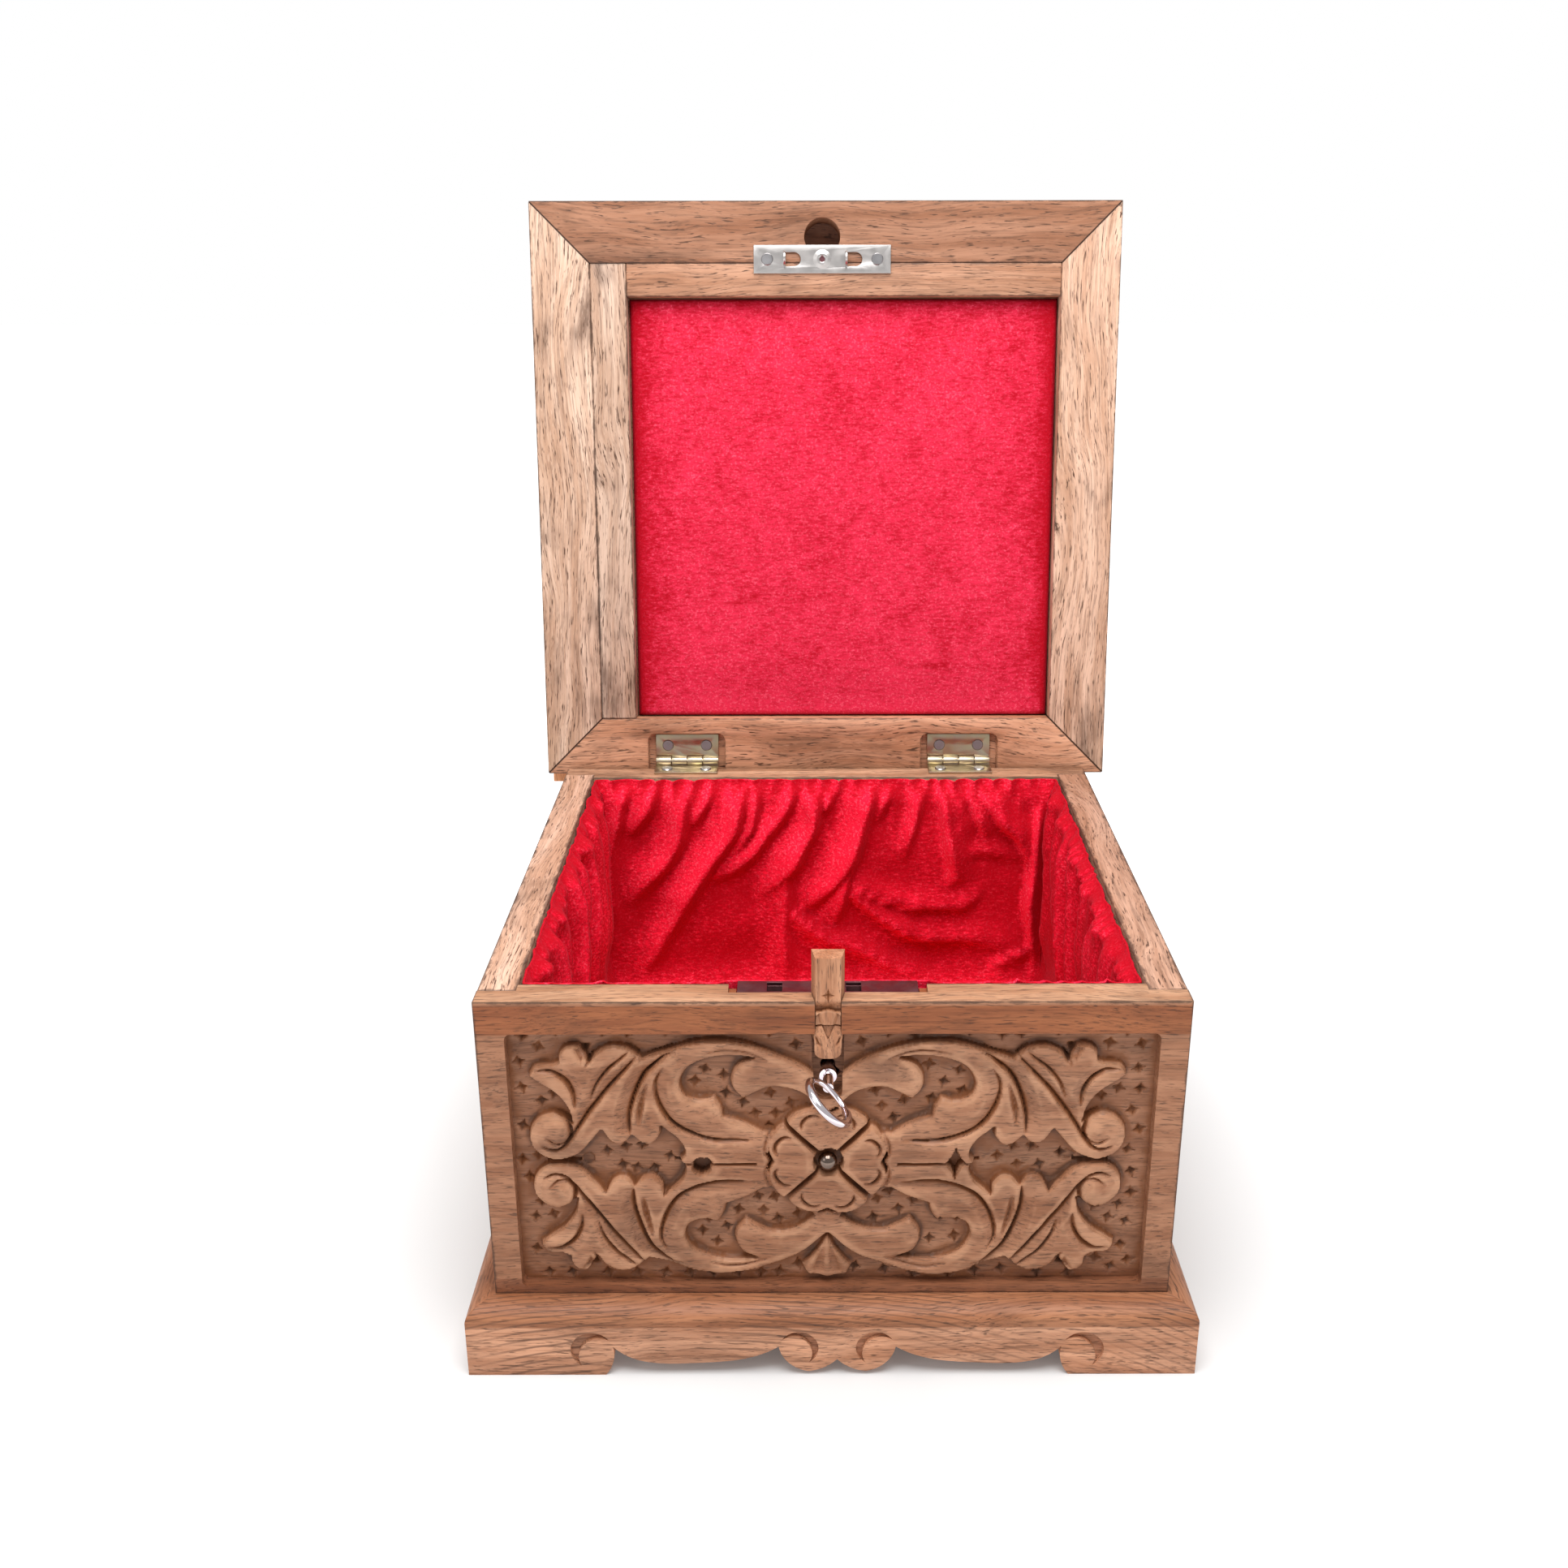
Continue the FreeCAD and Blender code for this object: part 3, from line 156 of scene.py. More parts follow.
# Gouge cuts: line, half width, depth, side that slopes down to it, width and depth of that slope
CUTS = [
    ([(82.7, 8.7), (79.2, 6), (75.2, 7.7), (72.7, 11.5), (69, 17), (66.7, 20.2), (63.5, 24.7), (58.5, 30.7),
      (54, 36), (52.5, 37.5)], 0.8, 2.0, -1, 4.2, 1.3),
    ([(68.8, 20.5), (67, 26), (63.5, 31), (60, 34), (56.5, 37)], 0.7, 1.6, -1, 2.6, 0.8),
    ([(73.4, 18), (73.8, 22.7), (75.8, 27), (79, 29.7), (81, 30.3), (84.5, 30.2)], 0.9, 1.9, 1, 3.2, 1.1),
    ([(57.7, 8.7), (57.4, 15.5), (55.6, 22.5), (53, 28.5), (49.5, 32.3), (46, 35.2), (43.3, 35.7)],
     0.9, 2.3, -1, 4.8, 2.0),
    ([(55, 12), (54.5, 17.5), (53.3, 23), (52.3, 26.5)], 1.3, 1.6, 0, 1.0, 0.0),
    ([(21.5, 7), (27, 6.6), (33, 6.8), (39, 8.6), (44.5, 12), (48, 17), (49.8, 22.5), (49.8, 27),
      (47.5, 31.5)], 0.8, 1.9, 1, 3.8, 1.3),
    ([(84, 5.5), (80.5, 4.2), (77, 5.6), (74.9, 9.5), (75.6, 13.5), (77, 14.9), (79.8, 16.3)],
     0.75, 2.1, 0, 1, 0),
    ([(36, 35.6), (30, 36.9), (24, 36.3), (17, 33.6)], 0.6, 0.9, 1, 1.6, 0.4),
    ([(67.3, 36.8), (70.3, 31.8)], 0.6, 1.2, 0, 1, 0),
]
# Middle and radius of the raised eye of a volute
VOLUTE = (80, 9.8, 5.6)
# Notch between two lobes of the palmette
PIT = [[(71.2, 32.2), (74.2, 38.2)], [(68.2, 38.2)]]
# Line of the gouge cut on each half of a petal
PETAL_CUT = [(10.6, 7.6), (13.0, 7.6), (15.0, 5.9), (15.6, 3.7), (14.6, 2.0)]
# Holes, seam and star punches: millimetres across from the middle of the box and up from the table
LEFT_HOLE = (-38.5, 67.6)
RIGHT_HOLE = (36.3, 68.4)
SMALL_HOLES = ((-72, 68.4), (69.5, 69.7))
SEAM_RISE = 68.3
STARS = [
    (-89.5, 109.5), (-80, 111), (-66, 111), (-59, 110.5), (-48, 111), (-18, 110.5), (-10.5, 106.5),
    (-85, 106), (-91, 101), (-90.5, 92.5), (-81, 90.5), (-85, 88), (-91, 79.5), (-92, 68), (-87, 69.5),
    (-90, 62), (-87, 53.5), (-83.5, 49), (-89, 48), (-89.5, 36.5), (-86, 28), (-79, 28), (-68, 28), (-59, 28),
    (-50.5, 28), (-43, 28), (-36, 28), (-28.5, 28), (-21.5, 28), (-16, 28), (-10, 31), (-66.5, 71),
    (-61, 72.5), (-56, 73), (-48, 69), (-62, 66), (-58, 65), (-52.5, 65), (-37, 98.5), (-31.5, 96.5),
    (-40, 94.5), (-31, 90.5), (-26, 87.5), (-18, 90.5), (-12, 87), (-22.5, 83.5), (-16.5, 83.5), (-18.5, 79),
    (-37, 47.5), (-39, 43), (-31.5, 44.5), (-34.5, 39), (-28, 50.5), (-22, 55), (-17, 55), (-20.5, 50),
    (-16, 47), (-10, 49), (8.5, 107.5), (16.5, 110.5), (24, 110), (39.5, 111), (49, 110), (54.5, 110),
    (65, 111), (85, 111), (80, 107), (89.5, 106.5), (89, 98.5), (83.5, 92), (90, 91.5), (78.5, 89.5),
    (88, 84.5), (90.5, 78), (87.5, 71), (89, 63.5), (89.5, 56), (78.5, 52), (86, 52), (83, 47.5), (88.5, 46),
    (87.5, 37.5), (80, 33), (90, 32), (85, 29.5), (72, 27.5), (62.5, 28), (51.5, 29), (43.5, 28.5),
    (35.5, 27.5), (25, 27.5), (16, 29), (7, 30), (49, 69), (53.5, 72.5), (59, 72.5), (55, 66), (61.5, 66),
    (67.5, 70), (12.5, 91.5), (21, 88), (14.5, 86), (18, 82), (28, 100), (37, 98), (32.5, 94), (38, 91),
    (29, 88.5), (17, 57), (13.5, 54), (24.5, 53.5), (20, 50.5), (12.5, 47.5), (32.5, 48), (37.5, 48),
    (29.5, 40), (37, 41),
]
# Creases of the lid's pad, drawn only as painted shade in its pile: millimetres across and from its edge at
# the strike plate
PAD_CREASES = [
    [(42, 46), (52, 44), (60, 41)], [(60, 102), (70, 99), (78, 96)], [(36, 115), (46, 112), (54, 110)],
    [(72, 90), (82, 84), (92, 75)], [(20, 18), (28, 12), (36, 8)],
    [(95, 128), (102, 137), (118, 139), (146, 140)],
    [(66, 137), (74, 131)], [(82, 126), (88, 112)],
]
# Folds of the lining's back wall: line across and down from the rim, half width, height and steep side
BACK_FOLDS = [
    ([(-53.6, 0), (-55.3, 15.9), (-58, 26.5), (-65.5, 37.1), (-74.2, 47.8), (-78.5, 54.2)], 6.0, 5.5, -1),
    ([(-31, 0), (-34.2, 15.9), (-39.6, 26.5), (-46.1, 36), (-52.6, 45.4), (-58, 56), (-65.5, 69),
      (-74.2, 82)], 6.5, 6.5, -1),
    ([(-24.5, 0), (-27.2, 15.9), (-32, 25.4), (-35.3, 31.3)], 3.2, 4.5, -1),
    ([(-9.4, 0), (-14.8, 10), (-20.2, 18.3), (-24.5, 25.4), (-31, 33.6), (-39.6, 39.5), (-47.2, 41.9)],
     4.6, 5.0, -1),
    ([(-2.5, 4), (-4, 17), (-9.4, 26.5), (-14.8, 36), (-21.3, 43), (-27.7, 46.6)], 6.0, 6.5, -1),
    ([(-16.4, 38), (-15.3, 53.7), (-14.8, 70), (-15.9, 90)], 7.0, 3.6, -1),
    ([(18, 0), (16.5, 12.4), (13.3, 24.2), (9, 34.8), (2.5, 44.2), (-4, 50), (-10.5, 54.2)], 6.5, 6.5, -1),
    ([(13.5, 26), (11, 34.9), (6.5, 50.9), (4.6, 61)], 4.5, 5.0, -1),
    ([(-13.7, 55.4), (-5.1, 60.7), (5.7, 66.6), (16.5, 71.3), (28.5, 77), (42.3, 82), (52.4, 86)],
     5.0, 4.5, -1),
    ([(9.7, 43.9), (23.9, 48.9), (37.7, 51.9), (52.4, 53.9), (59.8, 48.9), (58.8, 43.9)], 4.4, 4.2, 1),
    ([(9.2, 47.9), (19.3, 56), (33.1, 64), (51.5, 67), (69.9, 69), (80, 65)], 5.0, 4.2, 1),
    ([(25.8, 0), (23, 9.8), (20.7, 17)], 3.0, 3.6, -1),
    ([(37.2, 0), (35.9, 11.8), (33.6, 21.8), (31.3, 30)], 3.4, 4.0, -1),
    ([(45.5, 0), (46.9, 12.8), (47.8, 23.8), (49.2, 34.9), (49.6, 44)], 6.0, 6.0, 1),
    ([(55.2, 2), (58.8, 13.8), (63.4, 24)], 3.6, 4.0, 1),
    ([(59.8, 2), (67.1, 14.8), (74.5, 22.8), (80, 31.8), (81.8, 38)], 5.0, 5.5, 1),
    ([(51.5, 28.3), (65.3, 29.8), (79, 32.9)], 4.0, 2.6, 1),
    ([(82.7, 12), (81.8, 36.9), (80.9, 54.9), (83.7, 88)], 5.0, 6.0, 1),
    ([(80.9, 71), (72.6, 75), (65.3, 78)], 4.0, 3.4, 1),
    ([(-66, 0), (-70, 12), (-76, 22)], 4.4, 5.0, -1),
    ([(-76, 0), (-80, 16), (-84, 34), (-83, 60)], 4.4, 5.0, -1),
    ([(-44, 0), (-47, 10), (-52, 18)], 3.4, 4.0, -1),
    ([(5, 0), (2, 9), (-3, 16)], 3.4, 4.0, -1),
]


class CarvingSizes(bpy.types.PropertyGroup):
    """Sizes of the carved front."""

    step: FloatProperty(name="Step", description="Spacing of the carved surface's points",
                        default=0.00043, unit="LENGTH")
    relief: FloatProperty(name="Relief", description="Height of the leaves above the ground",
                          default=0.0034, unit="LENGTH")
    ground: FloatProperty(name="Ground", description="Depth of the ground below the face",
                          default=0.0045, unit="LENGTH")
    star: FloatProperty(name="Star", description="Reach of a star punch from its middle",
                        default=0.0025, unit="LENGTH")


class WoodColours(bpy.types.PropertyGroup):
    """Colours of the walnut."""

    pale: FloatVectorProperty(name="Pale", description="Pale streaks of the walnut", subtype="COLOR",
                              size=3, default=(0.56, 0.285, 0.165))
    brown: FloatVectorProperty(name="Brown", description="Main brown of the walnut", subtype="COLOR",
                               size=3, default=(0.37, 0.16, 0.08))
    dark: FloatVectorProperty(name="Dark", description="Pores and stains of the walnut", subtype="COLOR",
                              size=3, default=(0.075, 0.033, 0.018))


class VelvetSizes(bpy.types.PropertyGroup):
    """Cut and colour of the velvet."""

    colour: FloatVectorProperty(name="Colour", description="Colour of the lit pile", subtype="COLOR",
                                size=3, default=(0.92, 0.012, 0.045))
    spacing: FloatProperty(name="Spacing", description="Spacing of the points of the folded cloth",
                           default=0.00125, unit="LENGTH")
    pucker: FloatProperty(name="Pucker", description="Depth of the puckers below the gathered rim",
                          default=0.0032, unit="LENGTH")
    folds: IntProperty(name="Folds", description="Number of long folds on each side wall", default=8, min=1)


class StudioLight(bpy.types.PropertyGroup):
    """Light of the studio."""

    sky: FloatProperty(name="Sky", description="Brightness of the white surround", default=0.6, min=0.0)
    top: FloatProperty(name="Top", description="Power of the large lamp above", default=14.0, min=0.0)
    side: FloatProperty(name="Side", description="Power of the lamp at the left", default=1.5, min=0.0)


class BoxSettings(bpy.types.PropertyGroup):
    """Everything that can be set for the box."""

    carving: PointerProperty(type=CarvingSizes, name="Carving", description="Sizes of the carved front")
    wood: PointerProperty(type=WoodColours, name="Wood", description="Colours of the walnut")
    velvet: PointerProperty(type=VelvetSizes, name="Velvet", description="Cut and colour of the velvet")
    light: PointerProperty(type=StudioLight, name="Light", description="Light of the studio")


def settings():
    """The box's own settings in the scene."""
    return bpy.context.scene.puzzle_box


def fill(tree, item, inputs):
    """Links inputs of a node to sockets, or sets them to plain values."""
    for key, value in inputs.items():
        if isinstance(value, bpy.types.NodeSocket):
            tree.links.new(value, item.inputs[key])
        else:
            item.inputs[key].default_value = value


def add_node(tree, kind, inputs=None, **options):
    """A new node with its options set and its inputs linked or filled."""
    item = tree.nodes.new(kind)
    for key, value in options.items():
        setattr(item, key, value)
    fill(tree, item, inputs or {})
    return item


def sums(tree, operation, *values):
    """The output of a maths node."""
    return add_node(tree, "ShaderNodeMath", dict(enumerate(values)), operation=operation).outputs[0]


def mixed(tree, share, first, second, blend="MIX"):
    """The colour output of a mix node."""
    item = add_node(tree, "ShaderNodeMix", {0: share, 6: first, 7: second}, data_type="RGBA",
                    blend_type=blend)
    return item.outputs[2]


def noise(tree, vector, scale, detail=2.0, roughness=0.5):
    """Noise from 0 to 1 at a place scaled on each axis."""
    place = add_node(tree, "ShaderNodeVectorMath", {0: vector, 1: scale}, operation="MULTIPLY").outputs[0]
    item = add_node(tree, "ShaderNodeTexNoise", {"Vector": place, "Scale": 1.0, "Detail": detail,
                                                 "Roughness": roughness})
    return item.outputs[0]


def ramp(tree, value, low, high, to_low=0.0, to_high=1.0):
    """A value spread from one range to another and held there."""
    item = add_node(tree, "ShaderNodeMapRange", {0: value, 1: low, 2: high, 3: to_low, 4: to_high},
                    interpolation_type="SMOOTHSTEP")
    return item.outputs[0]


def group_tree(name, kind, inputs, outputs):
    """An empty node group of one kind with its sockets: the tree, its given values and its results."""
    tree = bpy.data.node_groups.new(name, kind)
    for label, socket_kind, value in inputs:
        socket = tree.interface.new_socket(name=label, in_out="INPUT", socket_type=socket_kind)
        if value is not None:
            socket.default_value = value
    for label, socket_kind in outputs:
        tree.interface.new_socket(name=label, in_out="OUTPUT", socket_type=socket_kind)
    return tree, tree.nodes.new("NodeGroupInput").outputs, tree.nodes.new("NodeGroupOutput").inputs


def walnut_group():
    """Grain of walnut that runs along X: streaks, fibres, short dark pores and stains."""
    known = bpy.data.node_groups.get("Walnut Grain")
    if known:
        return known
    colour, number = "NodeSocketColor", "NodeSocketFloat"
    tree, given, result = group_tree(
        "Walnut Grain", "ShaderNodeTree",
        [("Vector", "NodeSocketVector", None), ("Pale", colour, (0.4, 0.25, 0.15, 1)),
         ("Brown", colour, (0.3, 0.15, 0.08, 1)), ("Dark", colour, (0.07, 0.03, 0.02, 1)),
         ("Pores", number, 0.6), ("Stain", number, 0.3)],
        [("Color", colour), ("Roughness", number), ("Height", number)])
    sway = noise(tree, given["Vector"], (9, 22, 22), 2)
    push = add_node(tree, "ShaderNodeCombineXYZ", {1: sums(tree, "MULTIPLY", sway, 0.026),
                                                   2: sums(tree, "MULTIPLY", sway, 0.012)}).outputs[0]
    place = add_node(tree, "ShaderNodeVectorMath", {0: given["Vector"], 1: push}, operation="ADD").outputs[0]
    streaks = ramp(tree, noise(tree, place, (10, 170, 170), 5, 0.65), 0.32, 0.66)
    fibres = noise(tree, place, (60, 1300, 1300), 3, 0.6)
    pores = ramp(tree, noise(tree, place, (170, 1900, 1900), 2, 0.55), 0.57, 0.68)
    patches = ramp(tree, noise(tree, place, (30, 55, 55), 3, 0.55), 0.5, 0.75)
    wood = mixed(tree, streaks, given["Pale"], given["Brown"])
    wood = mixed(tree, sums(tree, "MULTIPLY", ramp(tree, fibres, 0.44, 0.72), 0.5), wood, given["Dark"])
    wood = mixed(tree, sums(tree, "MULTIPLY", pores, given["Pores"]), wood, given["Dark"])
    wood = mixed(tree, sums(tree, "MULTIPLY", patches, given["Stain"]), wood, given["Dark"])
    glints = ramp(tree, noise(tree, place, (240, 2400, 2400), 1, 0.5), 0.62, 0.72, 0.0, 0.35)
    wood = mixed(tree, glints, wood, given["Pale"])
    tree.links.new(wood, result["Color"])
    tree.links.new(ramp(tree, fibres, 0.2, 0.9, 0.42, 0.62), result["Roughness"])
    tree.links.new(sums(tree, "SUBTRACT", sums(tree, "MULTIPLY", fibres, 0.4), pores), result["Height"])
    return tree


def new_material(name):
    """A material with one Principled shader: its tree, the shader and the object's own place."""
    item = bpy.data.materials.new(name)
    item.use_nodes = True
    tree = item.node_tree
    shader = tree.nodes["Principled BSDF"]
    place = add_node(tree, "ShaderNodeTexCoord").outputs["Object"]
    return item, tree, shader, place


def shut_box(*nodes):
    """The lowest and highest places of solids of the lid while it is shut."""
    back = LID_TURN.inverted()
    places = np.array([back @ v.co for node in nodes for v in frame["nodes"][node].data.vertices])
    return places.min(axis=0), places.max(axis=0)


def edge_lines(tree, own, node, width):
    """Share of uneven dark lines along the edges of a board, and along the mitres of the lid's rails."""
    place, ends = own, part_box(node)
    if node.startswith("lid"):
        spin = Matrix.Rotation(math.radians(LID_OPEN), 3, "X")
        place = add_node(tree, "ShaderNodeMapping", {"Vector": own, "Location": PIN - spin @ PIN,
                                                     "Rotation": (math.radians(LID_OPEN), 0, 0)}).outputs[0]
        ends = shut_box(node)
    axes = add_node(tree, "ShaderNodeSeparateXYZ", {0: place}).outputs

    def inside(axis, low, high):
        return sums(tree, "MINIMUM", sums(tree, "SUBTRACT", axes[axis], float(low[axis])),
                    sums(tree, "SUBTRACT", float(high[axis]), axes[axis]))

    a, b, c = (inside(axis, *ends) for axis in range(3))
    nearer, farther = sums(tree, "MINIMUM", a, b), sums(tree, "MAXIMUM", a, b)
    edge = sums(tree, "MAXIMUM", nearer, sums(tree, "MINIMUM", farther, c))
    reach = ramp(tree, noise(tree, own, (130, 130, 130), 4, 0.65), 0.35, 0.7, 0.3 * width, 1.3 * width)
    line = ramp(tree, sums(tree, "DIVIDE", edge, reach), 0.2, 1.0, 0.75, 0.0)
    if "rail" in node:
        whole = shut_box("lid_rail_left", "lid_rail_right")
        mitre = sums(tree, "ABSOLUTE", sums(tree, "SUBTRACT", inside(0, *whole), inside(1, *whole)))
        line = sums(tree, "MAXIMUM", line, ramp(tree, mitre, 0.0002, 0.0007, 0.9, 0.0))
    return line


def carving_dirt_and_shade(tree, place, colour):
    """The colour of carved wood: painted shade in its sunk ground, dirt and painted shade in its cuts, a warm
    stain, and paler edges that are partly wear and partly painted highlight.
    """
    sunk, crevice = (add_node(tree, "ShaderNodeAttribute", attribute_name=label).outputs["Fac"]
                     for label in ("sunk", "crevice"))
    blotches = noise(tree, place, (60, 90, 90), 3, 0.6)
    # Painted shade: the ground darkens where it is sunk deepest.
    colour = mixed(tree, ramp(tree, sunk, 0.5, 1.0, 0.0, 0.14), colour, SUNK_GROUND_SHADE)
    # Dirt and painted shade: cuts and the feet of the leaves darken as hollows do.
    colour = mixed(tree, ramp(tree, crevice, 0.12, 0.7, 0.0, 0.8), colour, CREVICE_DIRT_AND_SHADE)
    warm = sums(tree, "MULTIPLY", ramp(tree, crevice, 0.0, 0.25), ramp(tree, blotches, 0.4, 0.58, 0.2, 0.8))
    colour = mixed(tree, warm, colour, WARM_STAIN)
    # Wear and painted highlight: ridges and edges of the carving turn paler.
    worn_and_highlit = sums(tree, "MULTIPLY", ramp(tree, crevice, -0.10, -0.4),
                  ramp(tree, blotches, 0.4, 0.62, 0.1, 0.5))
    return mixed(tree, worn_and_highlit, colour, WORN_EDGE_AND_HIGHLIGHT)


def saw_marks(tree, place, strength):
    """Share of the curved marks that a round saw left, in patches."""
    away = add_node(tree, "ShaderNodeVectorMath", {0: place, 1: SAW_MIDDLE}, operation="DISTANCE")
    wander = sums(tree, "MULTIPLY", noise(tree, place, (40, 40, 40), 2), 5.0)
    turns = sums(tree, "ADD", sums(tree, "MULTIPLY", away.outputs["Value"], SAW_PITCH), wander)
    marks = ramp(tree, sums(tree, "SINE", turns), 0.35, 1.0, 0.0, strength)
    patch = ramp(tree, noise(tree, place, (18, 18, 18), 2), 0.4, 0.6)
    return sums(tree, "MULTIPLY", marks, patch)


def wood_material(name, turn=(0, 0, 0), shift=0.0, tint=(1, 1, 1), pores=0.75, stain=0.3, carved=False,
                  sawn=0.0, bands=(), board=None, worn=0.0009):
    """Walnut with its grain turned to run along the board, tinted in level bands (one of them a painted
    highlight) and dirty at its edges; carved wood also takes painted shade and dirt in its hollows and paler
    edges of wear and painted highlight.
    """
    colours = settings().wood
    item, tree, shader, own = new_material(name)
    place = add_node(tree, "ShaderNodeMapping", {"Vector": own, "Location": (shift, shift * 1.7, shift * 0.6),
                                                 "Rotation": [math.radians(a) for a in turn]}).outputs[0]
    pale, brown = ((*[a * b for a, b in zip(tone, tint)], 1) for tone in (colours.pale, colours.brown))
    dark = (*colours.dark, 1)
    grain = add_node(tree, "ShaderNodeGroup", {"Vector": place, "Pale": pale, "Brown": brown, "Dark": dark,
                                               "Pores": pores, "Stain": stain},
                     node_tree=walnut_group()).outputs
    colour = grain["Color"]
    rise = add_node(tree, "ShaderNodeSeparateXYZ", {0: own}).outputs[2]
    # A band can be painted light as well as a stain: it may brighten the wood where a face looks up to the
    # lamp.
    for low, high, band_tint in bands:
        share = sums(tree, "MULTIPLY", ramp(tree, rise, low, low + BAND_FADE),
                     ramp(tree, rise, high, high + BAND_FADE, 1, 0))
        colour = mixed(tree, share, colour, (*band_tint, 1), "MULTIPLY")
    if board:
        colour = mixed(tree, edge_lines(tree, own, board, worn), colour, EDGE_DIRT)
    if carved:
        colour = carving_dirt_and_shade(tree, place, colour)
    if sawn:
        colour = mixed(tree, saw_marks(tree, place, sawn), colour, dark)
    bump = add_node(tree, "ShaderNodeBump", {"Strength": 0.25, "Distance": 0.00025,
                                             "Height": grain["Height"]})
    fill(tree, shader, {"Base Color": colour, "Roughness": grain["Roughness"], "Normal": bump.outputs[0],
                        "Specular IOR Level": 0.3})
    return item


def wood_pair(name, turn=(0, 0, 0), shift=0.0, tint=(1, 1, 1), **options):
    """Walnut of a board's faces, and the darker walnut of its handled edges."""
    return (wood_material(name, turn, shift, tint, **options),
            wood_material(name + " Edge", turn, shift, tuple(EDGE_SHADE * v for v in tint), **options))


def velvet_material(name, deep, lit, glow):
    """Crushed velvet: its mottled, streaked nap mixed with painted light and shade from a point field, small
    painted glints on the lit pile, and a pale sheen at grazing angles.
    """
    item, tree, shader, place = new_material(name)
    nap_and_shading = add_node(tree, "ShaderNodeAttribute", attribute_name="nap_and_shading").outputs["Fac"]
    mottle = noise(tree, place, (75, 75, 75), 4, 0.6)
    streak = noise(tree, place, (380, 1100, 1100), 3, 0.65)
    pile = noise(tree, place, (1150, 1150, 1150), 3, 0.7)
    # Painted light and shade from the point field, with the nap's mottles and streaks, sets how much of the
    # lit colour shows.
    nap_and_light = sums(tree, "ADD", sums(tree, "MULTIPLY", nap_and_shading, 0.66), sums(tree, "MULTIPLY", mottle, 0.20))
    nap_and_light = sums(tree, "ADD", nap_and_light, sums(tree, "MULTIPLY", ramp(tree, streak, 0.3, 0.7), 0.30))
    base = mixed(tree, ramp(tree, nap_and_light, 0.30, 0.86), (*deep, 1), (*lit, 1))
    # Painted glints: pale pink specks on the lit pile.
    pile_glints = sums(tree, "MULTIPLY", ramp(tree, pile, 0.50, 0.66, 0.0, 0.75),
                 ramp(tree, nap_and_light, 0.35, 0.85, 0.15, 1.0))
    base = mixed(tree, pile_glints, base, (*glow, 1))
    bump = add_node(tree, "ShaderNodeBump", {"Strength": 0.6, "Distance": 0.0005, "Height": pile})
    fill(tree, shader, {"Base Color": base, "Normal": bump.outputs[0], "Roughness": 0.85,
                        "Specular IOR Level": 0.08, "Sheen Weight": 0.18, "Sheen Roughness": 0.35,
                        "Sheen Tint": (1.0, 0.16, 0.24, 1)})
    return item


def metal_material(name, colour, second, roughness, blotch=0.5):
    """Metal whose colour wanders between two tones, with small marks in its polish."""
    item, tree, shader, place = new_material(name)
    cloud = ramp(tree, noise(tree, place, (180, 180, 180), 3, 0.6), 0.35, 0.68, 0.0, blotch)
    marks = noise(tree, place, (240, 240, 240), 3, 0.55)
    polish = ramp(tree, marks, 0.3, 0.75, roughness * 0.85, roughness * 1.25)
    fill(tree, shader, {"Base Color": mixed(tree, cloud, (*colour, 1), (*second, 1)), "Roughness": polish,
                        "Metallic": 1.0})
    return item


def add_mesh(name, points, faces):
    """A new mesh from points and faces."""
    mesh = bpy.data.meshes.new(name)
    mesh.from_pydata(points, [], faces)
    return mesh


def set_field(mesh, label, values):
    """Puts a number on each point of a mesh; points past the last number get 0."""
    spread = np.zeros(len(mesh.vertices), np.float32)
    spread[:values.size] = values.reshape(-1)
    mesh.attributes.new(label, "FLOAT", "POINT").data.foreach_set("value", spread)


def plain_mesh(item):
    """The mesh of an object with its modifiers worked in; the object itself is removed."""
    made = bpy.data.meshes.new_from_object(item.evaluated_get(bpy.context.evaluated_depsgraph_get()))
    bpy.data.objects.remove(item)
    return made


def skin(node):
    """A copy of a solid's skin with its corners joined and its flat faces whole."""
    shape = bmesh.new()
    shape.from_mesh(frame["nodes"][node].data)
    bmesh.ops.remove_doubles(shape, verts=shape.verts, dist=SAME_PLACE)
    bmesh.ops.dissolve_limit(shape, angle_limit=math.radians(0.5), verts=shape.verts, edges=shape.edges)
    return shape


def to_object(name, shape, smooth=40):
    """A new object from a bmesh or mesh, smooth except at its sharp edges."""
    if isinstance(shape, bmesh.types.BMesh):
        mesh = bpy.data.meshes.new(name)
        shape.to_mesh(mesh)
        shape.free()
    else:
        mesh = shape
    mesh.shade_smooth()
    mesh.set_sharp_from_angle(angle=math.radians(smooth))
    item = bpy.data.objects.new(name, mesh)
    bpy.context.scene.collection.objects.link(item)
    return item


def settle(item, material, body, slot, *nodes):
    """Gives a piece its material and its body, and hides the solids that it stands for; its slot is not used.
    """
    item.data.materials.clear()
    for part in material if isinstance(material, tuple) else (material,):
        item.data.materials.append(part)
    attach(item, body)
    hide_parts(*nodes)
    return item


def eased(name, node, width, segments=2, angle=30, edge=1):
    """A copy of a solid with its sharp edges eased; the eased faces take the given material."""
    shape = skin(node)
    sharp = [e for e in shape.edges if len(e.link_faces) == 2 and e.calc_face_angle(0) > math.radians(angle)]
    bmesh.ops.bevel(shape, geom=sharp, offset=width, offset_type="OFFSET", segments=segments, profile=0.5,
                    affect="EDGES", clamp_overlap=True, material=edge)
    return to_object(name, shape)


def spline(points, steps=8):
    """A smooth line through points; two points make a straight one."""
    p = np.array(points, float)
    if len(p) < 3:
        return p
    ends = np.vstack([2 * p[0] - p[1], p, 2 * p[-1] - p[-2]])
    t = np.linspace(0, 1, steps, endpoint=False)[:, None]
    parts = []
    for a, b, c, d in zip(ends, ends[1:], ends[2:], ends[3:]):
        parts.append(0.5 * (2 * b + (c - a) * t + (2 * a - 5 * b + 4 * c - d) * t ** 2
                            + (3 * b - a - 3 * c + d) * t ** 3))
    return np.vstack(parts + [p[-1:]])


